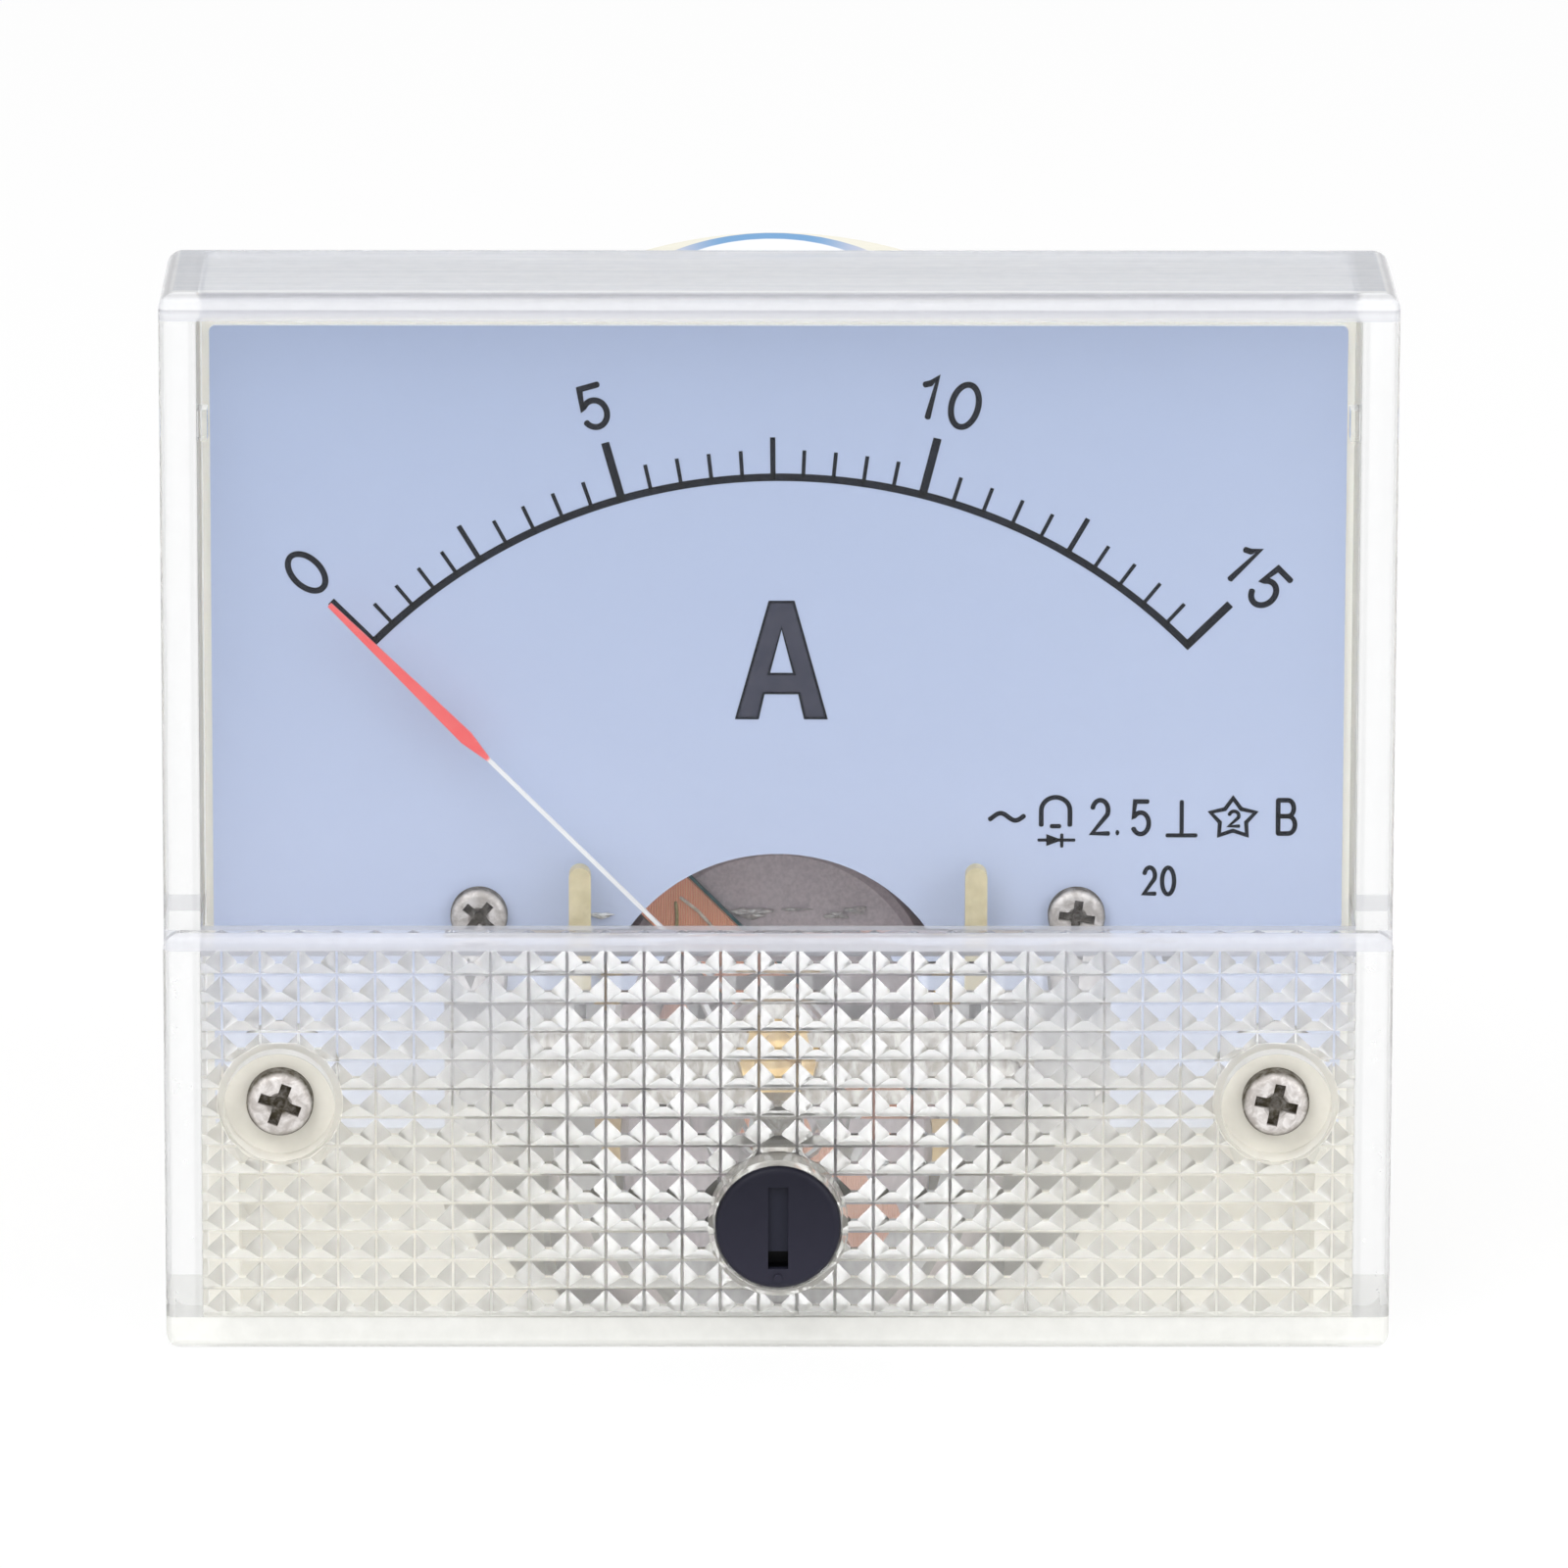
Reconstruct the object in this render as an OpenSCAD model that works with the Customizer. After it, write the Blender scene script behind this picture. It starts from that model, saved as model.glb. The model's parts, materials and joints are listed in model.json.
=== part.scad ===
// Moving-coil panel meter, 64 x 56 mm front, for a 52 mm round panel cut-out.
// Origin: axis of the round barrel where it meets the panel face.
// +Z is up, -Y is the front that is read, +Y goes into the panel. Millimetres.

/* [Front cover] */
// Width of the front
cover_w = 64; // [60:0.5:70]
// Height of the front
cover_h = 56; // [54:0.5:60]
// Depth of the window face in front of the panel
cover_depth = 12; // [11.5:0.1:14]
// Height of the pointer axis above the bottom of the front
pivot_rise = 15.6; // [15:0.1:16.2]
// Thickness of the clear window
window_t = 1.5; // [1:0.1:1.8]
// Thickness of the side walls
side_wall = 1.9; // [1.4:0.1:2.2]
// Thickness of the top and bottom walls
end_wall = 1.4; // [1:0.1:1.8]
// Radius of the four corners seen from the front
corner_r = 0.9; // [0.3:0.1:2]
// Radius along the front edges
edge_r = 0.5; // [0.2:0.1:0.8]
// Distance of the lugs that steady the dial below the cover's top
lug_drop = 7.4; // [5:0.1:12]

/* [Patterned panel] */
// Distance that the lower panel stands proud of the window
panel_proud = 1.0; // [0.6:0.1:1.6]
// Height of the panel's top edge above the pointer axis
panel_top = 6.7; // [6:0.1:7]
// Thickness of the panel under the cells
panel_t = 1.15; // [0.9:0.05:1.4]
// Pitch of the cell columns
cell_w = 2.0; // [1.6:0.1:3]
// Number of rows of cells
cell_rows = 13; // [8:1:14]
// Height of the ridges between cells
ridge_h = 0.75; // [0.5:0.05:0.8]
// Width of the flats along the ridges and in the bottoms of the cells
flat_w = 0.12; // [0.06:0.02:0.2]

/* [Case] */
// Outer radius of the barrel behind the panel
barrel_r = 25.5; // [25:0.1:27]
// Length of the barrel behind the panel
barrel_len = 25; // [24:0.5:32]
// Wall thickness of the barrel
barrel_wall = 1.8; // [1.5:0.1:1.9]
// Thickness of the barrel's closed end
barrel_end = 2; // [1.5:0.1:3]
// Distance from the panel face to the rim that carries the dial
rim_depth = 6.1; // [5.6:0.1:6.5]
// Thickness of the flange floor
floor_t = 2; // [1.5:0.1:2.5]
// Thickness of the tray wall under the rim
tray_wall = 1.6; // [1.2:0.1:2]
// Gap between the tray and the cover
tray_gap = 0.15; // [0.1:0.05:0.3]
// Thickness of the paper label on the barrel
label_t = 0.08; // [0.05:0.01:0.15]
// Length of the label along the barrel
label_len = 14; // [8:0.5:15]

/* [Fixings] */
// Distance of the mounting studs from the sides of the front
stud_inset = 6; // [5.5:0.1:6.5]
// Height of the mounting studs from the barrel axis
stud_z = -13.8; // [-15:0.1:-12.5]
// Radius of a mounting stud
stud_r = 1.5; // [1.4:0.1:1.6]
// Length of a mounting stud behind the panel face
stud_len = 12; // [8:0.5:18]
// Radius of the cover screws' heads
cover_head_r = 1.75; // [1.5:0.05:2]
// Height of the cover screws' heads
cover_head_h = 1.2; // [1:0.05:1.4]
// Radius of the round recess that a cover screw sits in
recess_r = 2.9; // [2.5:0.1:3]
// Thickness of the wall round that recess
recess_wall = 0.35; // [0.3:0.05:0.8]
// Radius of the dial screws' heads
dial_head_r = 1.5; // [1.3:0.05:1.7]

/* [Dial] */
// Distance of the dial's edges from the edges of the tray at the sides
dial_margin = 0.4; // [0.3:0.05:1]
// Distance of the dial's upper edge from the edge of the tray
dial_top_margin = 1.1; // [0.8:0.05:1.5]
// Distance of the dial's lower corners below the pointer axis
dial_drop = 1.85; // [1:0.05:2.5]
// Thickness of the dial plate
dial_t = 0.4; // [0.3:0.05:0.6]
// Radius of the opening round the movement
dial_open_r = 9.6; // [9:0.1:9.7]
// Distance between the dial screws
dial_screw_span = 31.3; // [29:0.1:33]
// Height of the dial screws above the pointer axis
dial_screw_rise = 6.35; // [6:0.05:7]

/* [Pointer] */
// Distance of the pointer axis below the barrel axis
pivot_drop = 11.2; // [11:0.05:11.4]
// Angle of the whole scale
sweep = 90; // [80:1:92]
// Length of the pointer from its axis
pointer_len = 33; // [28:0.1:33.5]
// Radius where the thin arm widens into the blade
blade_start = 21.4; // [18:0.1:24]
// Width of the thin arm
arm_w = 0.2; // [0.16:0.01:0.5]
// Greatest width of the blade
blade_w = 0.72; // [0.5:0.02:1]
// Gap between the dial and the pointer
pointer_gap = 1.7; // [1.5:0.05:1.9]
// Distance of each pointer stop from the centre line
stop_x = 10.35; // [10.2:0.05:10.6]
// Width of a pointer stop's sleeve
stop_w = 1.15; // [0.9:0.05:1.2]

/* [Movement] */
// Radius of the core magnet
core_r = 8.3; // [7.8:0.05:8.35]
// Length of the core magnet
core_len = 11; // [9:0.5:11.5]
// Inner radius of the yoke ring
yoke_in = 9.75; // [9.7:0.01:9.85]
// Outer radius of the yoke ring
yoke_out = 12.2; // [12:0.05:12.3]
// Width of the coil
coil_w = 3.4; // [2.8:0.1:3.6]
// Thickness of the coil's winding
coil_t = 0.55; // [0.4:0.05:0.6]
// Thickness of the coil former
former_t = 0.25; // [0.2:0.05:0.3]
// Thickness of the movement frame
frame_t = 1.4; // [1.2:0.1:1.6]
// Number of turns of a hairspring
spring_turns = 4; // [3:1:5]
// Outer radius of the front hairspring
spring_r = 5.6; // [5:0.1:5.7]

/* [Zero adjuster] */
// Distance of the adjuster below the pointer axis
adjust_drop = 8.6; // [8.4:0.05:8.7]
// Radius of the adjuster's head
adjust_r = 3.28; // [3:0.02:3.4]
// Distance that the adjuster stands proud of the panel
adjust_proud = 1.8; // [1:0.1:2.4]
// Thickness of the clear collar round the adjuster
collar_wall = 0.3; // [0.25:0.05:0.5]
// Eccentric throw of the adjuster's pin
adjust_throw = 1.2; // [1:0.05:1.3]
// Width of the adjuster's slot
slot_w = 1.05; // [0.8:0.05:1.3]
// Length of the adjuster's slot
slot_len = 4.4; // [3.6:0.1:4.8]

/* [Terminals] */
// Distance between the terminals
terminal_span = 26; // [24:0.5:28]
// Height of the terminals above the barrel axis
terminal_z = 8; // [7.8:0.1:9]
// Radius of a terminal stud
terminal_r = 2; // [1.8:0.1:2.2]
// Length of a terminal stud behind the barrel
terminal_len = 15; // [13:0.5:20]

/* [Hidden] */
$fn = 72;

// Small amount that a cut runs past the face it opens.
past = 1;
// Gap left round a thread or a moulded-in piece.
thread_gap = 0.03;
// Radial gap of a running fit.
run_gap = 0.05;

// Cover planes, along Y from front to rear.
window_y = -cover_depth;
window_back = window_y + window_t;
panel_y = window_y - panel_proud;
panel_back = panel_y + panel_t;
ridge_tip = panel_back + ridge_h;
pivot_z = -pivot_drop;
cover_bottom = pivot_z - pivot_rise;
cover_top = cover_bottom + cover_h;
cover_half = cover_w / 2;
inner_half = cover_half - side_wall;
inner_top = cover_top - end_wall;
inner_bottom = cover_bottom + end_wall;

// Edges of the patterned panel.
panel_edge = pivot_z + panel_top;
cell_top = panel_edge - 0.9;
cell_h = (cell_top - inner_bottom) / cell_rows;
cell_cols = 2 * floor(inner_half / cell_w);

// Tray of the base housing.
rim_y = -rim_depth;
tray_half = inner_half - tray_gap;
tray_top = inner_top - tray_gap;
tray_bottom = inner_bottom + tray_gap;
barrel_in = barrel_r - barrel_wall;
barrel_floor = barrel_len - barrel_end;
stud_x = cover_half - stud_inset;

// Cover screws: an M2 screw runs into the tapped head of each mounting stud.
screw_r = 1;
screw_hole_r = screw_r + 0.15;
seat_t = 0.8;
seat_y = panel_y + 1.8;
seat_back = seat_y + seat_t;
boss_r = 3;
boss_y = seat_back + run_gap;
stud_head_r = 2.5;
stud_head_h = 4.2;
stud_head_y = rim_y + 0.3;
shoulder_r = stud_r + 0.3;
screw_end = stud_head_y + 3.4;

// Dial.
dial_y = rim_y - dial_t;
dial_half = tray_half - dial_margin;
dial_top = tray_top - dial_top_margin;
dial_bottom = pivot_z - dial_drop;
dial_corner_r = 0.3;
shoulder_z = pivot_z + 5.55;
notch_half = 17.5;
dial_screw_x = dial_screw_span / 2;
dial_screw_z = pivot_z + dial_screw_rise;
dial_head_h = 0.9;

// Pointer and its stops.
pointer_t = 0.3;
pointer_back = dial_y - pointer_gap;
pointer_y = pointer_back - pointer_t;
boss_len = 0.25;
hub_r = 1.2;
staff_r = 0.35;
tail_len = 6;
side_arm = 4.2;
weight_r = 0.65;
stop_top = pivot_z + 9.4;
stop_foot = pivot_z + 4;
wire_r = 0.32;
sleeve_t = 1.1;
sleeve_y = pointer_y - 0.4;

// Movement frame, ring, core and coil.
frame_back = rim_y + frame_t;
frame_r = yoke_out;
frame_half = 21.2;
column_r = 2.3;
column_circle = barrel_in - 2.1;
column_angle = 30;
column_x = column_circle * cos(column_angle);
column_z = column_circle * sin(column_angle);
frame_screw_r = 1.1;
frame_head_r = 2;
frame_head_h = 0.35;
frame_screw_depth = 5;
coil_in = core_r + 0.35;
coil_out = coil_in + former_t + coil_t;
core_y = 0.3;
core_back = core_y + core_len;
spider_t = 0.8;
spider_y = core_back + spider_t;
coil_front_in = core_y - 0.4;
coil_back_in = spider_y + 0.4;
coil_front = coil_front_in - former_t - coil_t;
coil_back = coil_back_in + former_t + coil_t;
key_h = 3.4;
glue_gap = 0.03;
rest_angle = -sweep / 2;

// Bridges and jewels.
bridge_t = 0.7;
bridge_w = 4;
bridge_y = pointer_y - 1.9;
bridge_back = bridge_y + bridge_t;
post_r = 1.2;
front_post_x = yoke_out - 0.4;
rear_post_x = (yoke_in + yoke_out) / 2;
rear_bridge_y = coil_back + 3.4;
rear_bridge_back = rear_bridge_y + 0.8;
jewel_r = 1.25;
jewel_flange_r = 1.9;
bridge_screw_r = 0.7;
spring_strip = 0.12;
spring_w = 0.3;
collet_r = 0.9;
staff_flange_r = 1.5;
staff_flange_t = 0.4;
front_spring_y = pointer_back + 0.6;
rear_spring_y = coil_back + 1.4;
rear_spring_r = 5.2;
spring_step = 15;

// Zero adjuster and lever.
adjust_z = pivot_z - adjust_drop;
adjust_recess_r = adjust_r + 0.08;
adjust_seat_y = panel_y + 1;
neck_r = adjust_throw + 0.7;
pin_r = 0.5;
clip_groove = 0.3;
clip_t = 0.35;
adjust_boss_r = neck_r + 1.5;
adjust_boss_back = ridge_tip + 0.2;
clip_y = adjust_boss_back + 0.05;
lever_t = 0.4;
lever_y = bridge_back;
lever_back = lever_y + lever_t;
lever_ring_r = 2;
pin_reach = adjust_drop - adjust_throw;
adjust_head_y = panel_y - adjust_proud;
collar_y = adjust_head_y + 0.1;
slot_depth = 0.45;
slot_pocket = 0.85;

// Terminals and transformer.
terminal_x = terminal_span / 2;
terminal_end = barrel_len + terminal_len;
terminal_head_t = 1.8;
strap_t = 1;
strap_w = 5;
strap_rise_x = 8.6;
strap_y = 12.5;
thread_pitch_r = terminal_r - 0.2;
washer_t = 0.8;
washer_r = terminal_r * 2.2;
spring_washer_t = 1;
nut_t = 3.2;
nut_end = barrel_len + washer_t + spring_washer_t + nut_t;
washer_hole_r = terminal_r + 0.15;
nut_r = terminal_r * 2.02;
core_half = 4;
core_ring_in = 3.7;
core_ring_out = 6;
winding_t = 0.6;
sleeve_half = 6;
sleeve_wall = 0.3;

// Rectifier board.
board_t = 1.2;
board_y = -0.2;
board_back = board_y + board_t;
board_r = barrel_in - 0.4;
board_bottom = 3.2;
board_top = 19;
diode_r = 1.3;
diode_len = 5;
lead_r = 0.35;
diode_pitch = 3.4;
diode_z = 9.5;
diode_reach = 4;
resistor_r = 1.6;
resistor_len = 7;
resistor_reach = 5;
resistor_drop = 2.6;

// ---- helpers ------------------------------------------------------------

// Extrudes a shape drawn in (x, z) from y0 at the front to y1 at the rear.
module between(y0, y1) {
    rotate([90, 0, 0])
        translate([0, 0, -y1])
            linear_extrude(y1 - y0)
                children();
}

// Extrudes a shape drawn in (y, z) from x0 to x1.
module across(x0, x1) {
    rotate([90, 0, 90])
        translate([0, 0, x0])
            linear_extrude(x1 - x0)
                children();
}

// Revolves a profile of [radius, y] points about the line through x, z along Y.
module turned(x, z) {
    translate([x, 0, z])
        rotate([-90, 0, 0])
            rotate_extrude()
                children();
}

// Round rod along Y.
module rod(x, z, y0, y1, r) {
    translate([x, 0, z])
        rotate([90, 0, 0])
            translate([0, 0, -y1])
                cylinder(r = r, h = y1 - y0);
}

// Hexagonal prism along Y; r is the radius over its corners.
module hex(x, z, y0, y1, r) {
    translate([x, 0, z])
        rotate([90, 0, 0])
            translate([0, 0, -y1])
                cylinder(r = r, h = y1 - y0, $fn = 6);
}

// Rectangle from a to b with all four corners rounded.
module round_rect(a, b, r) {
    translate([a[0] + r, a[1]])
        square([b[0] - a[0] - 2 * r, b[1] - a[1]]);
    translate([a[0], a[1] + r])
        square([b[0] - a[0], b[1] - a[1] - 2 * r]);
    for (x = [a[0] + r, b[0] - r], y = [a[1] + r, b[1] - r])
        translate([x, y])
            circle(r = r);
}

// Rectangle in (a, y) whose two corners at the front are rounded.
module round_front(a0, a1, y0, y1, r) {
    translate([a0 + r, y0])
        square([a1 - a0 - 2 * r, y1 - y0]);
    translate([a0, y0 + r])
        square([a1 - a0, y1 - y0 - r]);
    for (a = [a0 + r, a1 - r])
        translate([a, y0 + r])
            circle(r = r);
}

// Block with rounded corners seen from the front and rounded front edges.
module soft_block(half, z0, z1, y0, y1, corner, edge) {
    intersection() {
        between(y0, y1)
            round_rect([-half, z0], [half, z1], corner);
        across(-half, half)
            mirror([1, -1, 0])
                round_front(z0, z1, y0, y1, edge);
        translate([0, 0, z0])
            linear_extrude(z1 - z0)
                round_front(-half, half, y0, y1, edge);
    }
}

// Pan-head screw with a cross recess, its head's underside at y_seat.
module pan_screw(x, z, y_seat, head_r, head_h, shank_r, y_end, turn, cross) {
    dome = head_h * 0.45;
    difference() {
        union() {
            turned(x, z) {
                translate([0, y_seat - head_h + dome])
                    square([head_r, head_h - dome]);
                translate([0, y_seat - head_h])
                    square([head_r - dome, dome]);
                intersection() {
                    translate([head_r - dome, y_seat - head_h + dome])
                        circle(r = dome);
                    translate([0, y_seat - head_h])
                        square([head_r, head_h]);
                }
            }
            rod(x, z, y_seat - 0.1, y_end, shank_r);
        }
        translate([x, 0, z])
            rotate([0, turn, 0])
                cross_recess(y_seat - head_h, head_h * 0.6, cross);
    }
}

// Cross recess cut into a face at y_face.
module cross_recess(y_face, depth, size) {
    arm = size * 0.25;
    between(y_face - past, y_face + depth * 0.75) {
        square([size, arm], center = true);
        square([arm, size], center = true);
    }
    turned(0, 0)
        polygon([[0, y_face - past], [size * 0.3, y_face - past],
                 [size * 0.3, y_face], [arm * 0.4, y_face + depth], [0, y_face + depth]]);
}

// Countersunk screw with a cross slot, head flush with y_top.
module flat_screw(x, z, y_top, head_r, head_h, shank_r, y_end, dir) {
    difference() {
        union() {
            if (dir > 0) {
                rod(x, z, y_top, y_top + head_h, head_r);
                rod(x, z, y_top + head_h - 0.05, y_end, shank_r);
            } else {
                rod(x, z, y_top - head_h, y_top, head_r);
                rod(x, z, y_end, y_top - head_h + 0.05, shank_r);
            }
        }
        translate([x, y_top, z])
            rotate([0, 35, 0])
                cube([head_r * 3, head_h, 0.3], center = true);
    }
}

// Points of a flat spiral strip from radius r0 to r1.
function spiral(r0, r1, turns, offset) =
    [for (a = [0 : spring_step : 360 * turns])
        let (r = r0 + (r1 - r0) * a / (360 * turns) + offset)
            [r * cos(a), r * sin(a)]];

function backwards(list) = [for (i = [len(list) - 1 : -1 : 0]) list[i]];

// Hairspring between a collet and an outer end, strip on edge.
module hairspring(y0, r1, turns) {
    inner = collet_r - 0.02;
    between(y0, y0 + spring_w)
        polygon(concat(spiral(inner, r1 - spring_strip, turns, 0),
                       backwards(spiral(inner, r1 - spring_strip, turns, spring_strip))));
}

// ---- front cover --------------------------------------------------------

module cover_shell() {
    difference() {
        union() {
            soft_block(cover_half, panel_edge - 2, cover_top, window_y, 0, corner_r, edge_r);
            soft_block(cover_half, cover_bottom, panel_edge, panel_y, 0, corner_r, edge_r);
        }
        between(window_back, past)
            round_rect([-inner_half, inner_bottom], [inner_half, inner_top], 0.4);
        between(panel_back, window_back + past)
            translate([-inner_half, inner_bottom])
                square([2 * inner_half, cell_top - inner_bottom]);
    }
}

// Height of rib i of the panel, counted from the bottom wall.
function rib_z(i) = inner_bottom + i * cell_h;

// Saw-tooth ribs across the panel and ridges down it leave hip-ended cells. The ridges
// stop just short of the ribs' tips.
module cell_ridges() {
    half_flat = flat_w / 2;
    foot = ridge_h + 0.1 + half_flat;
    crest = ridge_tip - 0.03;
    across(-inner_half - 0.2, inner_half + 0.2)
        polygon(concat(
            [[panel_back - 0.4, inner_bottom - 0.2], [ridge_tip, inner_bottom - 0.2]],
            [for (i = [0 : cell_rows]) each [
                [ridge_tip, rib_z(i) - half_flat], [ridge_tip, rib_z(i) + half_flat],
                [panel_back, rib_z(i + 0.5) - half_flat], [panel_back, rib_z(i + 0.5) + half_flat]]],
            [[panel_back - 0.4, rib_z(cell_rows + 0.5) + half_flat]]));
    for (i = [-cell_cols / 2 : cell_cols / 2 - 1])
        translate([(i + 0.5) * cell_w, 0, inner_bottom - 0.2])
            linear_extrude(cell_top - inner_bottom + 0.4)
                polygon([[-foot, panel_back - 0.1], [foot, panel_back - 0.1],
                         [half_flat, crest], [-half_flat, crest]]);
}

module front_cover() {
    color([0.93, 0.95, 0.97, 0.35])
    difference() {
        union() {
            cover_shell();
            cell_ridges();
            for (s = [-1, 1]) {
                rod(s * stud_x, stud_z, panel_back - 0.5, seat_back, recess_r + recess_wall);
                translate([s * (inner_half - 0.15), window_y + 3.6, cover_top - lug_drop])
                    cube([0.7, 1.8, 1.6], center = true);
            }
            rod(0, adjust_z, panel_back - 0.5, adjust_boss_back, adjust_boss_r);
            rod(0, adjust_z, collar_y, panel_back, adjust_recess_r + collar_wall);
        }
        for (s = [-1, 1]) {
            rod(s * stud_x, stud_z, panel_y - past, seat_y, recess_r);
            rod(s * stud_x, stud_z, seat_y - past, seat_back + past, screw_hole_r);
        }
        rod(0, adjust_z, collar_y - past, adjust_seat_y, adjust_recess_r);
        rod(0, adjust_z, panel_y - past, adjust_boss_back + past, neck_r + run_gap);
    }
}

// ---- case ---------------------------------------------------------------

module base_housing() {
    tail_r = 0.8;
    color([0.92, 0.91, 0.86])
    difference() {
        union() {
            between(rim_y, 0)
                round_rect([-tray_half, tray_bottom], [tray_half, tray_top], 0.4);
            turned(0, 0) {
                square([barrel_r, barrel_len - tail_r]);
                square([barrel_r - tail_r, barrel_len]);
                translate([barrel_r - tail_r, barrel_len - tail_r])
                    circle(r = tail_r);
            }
            for (s = [-1, 1])
                rod(s * stud_x, stud_z, boss_y, -floor_t, boss_r);
        }
        difference() {
            union() {
                between(rim_y - past, -floor_t)
                    translate([-tray_half + tray_wall, tray_bottom + tray_wall])
                        square([2 * (tray_half - tray_wall), tray_top - tray_bottom - 2 * tray_wall]);
                rod(0, 0, -floor_t - past, barrel_floor, barrel_in);
            }
            intersection() {
                union() {
                    for (s = [-1, 1]) {
                        rod(s * stud_x, stud_z, boss_y, past, boss_r);
                        rod(s * column_x, -column_z, frame_back, barrel_len, column_r);
                        rod(s * column_x, column_z, board_back, barrel_len, column_r);
                    }
                }
                union() {
                    rod(0, 0, -floor_t, barrel_len, barrel_r - 0.1);
                    between(boss_y, past)
                        square([cover_w, cover_h * 2], center = true);
                }
            }
        }
        for (s = [-1, 1]) {
            rod(s * column_x, -column_z, frame_back - past, frame_back + frame_screw_depth + 1,
                frame_screw_r + thread_gap);
            rod(s * column_x, column_z, board_back - past, board_back + frame_screw_depth + 1,
                frame_screw_r + thread_gap);
            rod(s * stud_x, stud_z, boss_y - past, stud_head_y, screw_hole_r);
            hex(s * stud_x, stud_z, stud_head_y - thread_gap, stud_head_y + stud_head_h,
                stud_head_r + thread_gap);
            rod(s * stud_x, stud_z, -floor_t, past, shoulder_r + thread_gap);
            rod(s * terminal_x, terminal_z, barrel_floor - past, barrel_len + past,
                terminal_r + thread_gap);
        }
    }
}

module rating_label() {
    arc = 70;
    y0 = barrel_len - 0.9 - label_len;
    color([0.97, 0.97, 0.96])
    rotate([-90, 0, 0])
        rotate_extrude(angle = arc, start = -90 - arc / 2)
            translate([barrel_r, y0])
                square([label_t, label_len]);
}

module cover_screw(side, turn) {
    color([0.72, 0.71, 0.69])
    pan_screw(side * stud_x, stud_z, seat_y, cover_head_r, cover_head_h, screw_r, screw_end,
              turn, cover_head_r * 1.28);
}

module cover_screw_left() { cover_screw(-1, 20); }
module cover_screw_right() { cover_screw(1, 12); }

module mounting_stud(side) {
    color([0.75, 0.74, 0.72])
    difference() {
        union() {
            hex(side * stud_x, stud_z, stud_head_y, stud_head_y + stud_head_h, stud_head_r);
            turned(side * stud_x, stud_z)
                polygon([[0, stud_head_y + 1], [shoulder_r, stud_head_y + 1], [shoulder_r, 0],
                         [stud_r, 0], [stud_r, stud_len - 0.5], [stud_r - 0.5, stud_len],
                         [0, stud_len]]);
        }
        rod(side * stud_x, stud_z, stud_head_y - past, screw_end + 0.4, screw_r + thread_gap);
    }
}

module mounting_stud_left() { mounting_stud(-1); }
module mounting_stud_right() { mounting_stud(1); }

// ---- dial ---------------------------------------------------------------

module dial_plate() {
    color([0.73, 0.78, 0.88])
    difference() {
        between(dial_y, rim_y)
            round_rect([-dial_half, dial_bottom], [dial_half, dial_top], dial_corner_r);
        rod(0, pivot_z, dial_y - past, rim_y + past, dial_open_r);
        between(dial_y - past, rim_y + past)
            translate([-notch_half, dial_bottom - past])
                square([2 * notch_half, shoulder_z - dial_bottom + past]);
        for (s = [-1, 1]) {
            rod(s * dial_screw_x, dial_screw_z, dial_y - past, rim_y + past, screw_hole_r);
            rod(s * stud_x, stud_z, dial_y - past, rim_y + past, boss_r + 0.2);
        }
    }
}

module dial_screw(side, turn) {
    color([0.78, 0.76, 0.72])
    pan_screw(side * dial_screw_x, dial_screw_z, dial_y, dial_head_r, dial_head_h, screw_r,
              frame_back + 1, turn, dial_head_r * 1.25);
}

module dial_screw_left() { dial_screw(-1, 40); }
module dial_screw_right() { dial_screw(1, 8); }

// Bent wire that rises from the frame in front of the dial.
module pointer_stop(side) {
    color([0.25, 0.24, 0.23]) {
        rod(side * stop_x, stop_foot, sleeve_y + sleeve_t / 2, rim_y, wire_r);
        translate([side * stop_x, sleeve_y + sleeve_t / 2, stop_foot])
            sphere(r = wire_r);
        translate([side * stop_x, sleeve_y + sleeve_t / 2, stop_foot])
            cylinder(r = wire_r, h = stop_top - stop_foot - 0.6);
    }
}

module pointer_stop_left() { pointer_stop(-1); }
module pointer_stop_right() { pointer_stop(1); }

// Round-topped sleeve that the pointer rests against.
module stop_sleeve(side) {
    foot = stop_foot + 0.8;
    color([0.82, 0.77, 0.64])
    difference() {
        between(sleeve_y, sleeve_y + sleeve_t) {
            translate([side * stop_x - stop_w / 2, foot])
                square([stop_w, stop_top - stop_w / 2 - foot]);
            translate([side * stop_x, stop_top - stop_w / 2])
                circle(d = stop_w);
        }
        translate([side * stop_x, sleeve_y + sleeve_t / 2, foot - past])
            cylinder(r = wire_r + thread_gap, h = stop_top - 0.5 - foot + past);
    }
}

module stop_sleeve_left() { stop_sleeve(-1); }
module stop_sleeve_right() { stop_sleeve(1); }

// ---- fixed movement -----------------------------------------------------

module movement_frame() {
    color([0.5, 0.49, 0.49])
    difference() {
        between(rim_y, frame_back) {
            translate([0, pivot_z])
                circle(r = frame_r);
            round_rect([-frame_half, -column_z - 3.4], [frame_half, dial_screw_z + 2.6], 2);
        }
        rod(0, pivot_z, rim_y - past, frame_back + past, yoke_in);
        for (s = [-1, 1]) {
            rod(s * dial_screw_x, dial_screw_z, rim_y - past, frame_back + past,
                screw_r + thread_gap);
            rod(s * column_x, -column_z, rim_y - past, frame_back + past, frame_screw_r + 0.1);
            rod(s * column_x, -column_z, rim_y - past, rim_y + frame_head_h, frame_head_r + 0.1);
            rod(s * front_post_x, pivot_z, rim_y - past, frame_back + past,
                bridge_screw_r + thread_gap);
        }
    }
}

module frame_screws() {
    color([0.7, 0.69, 0.67])
    for (s = [-1, 1])
        flat_screw(s * column_x, -column_z, rim_y, frame_head_r, frame_head_h, frame_screw_r,
                   frame_back + frame_screw_depth, 1);
}

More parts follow.
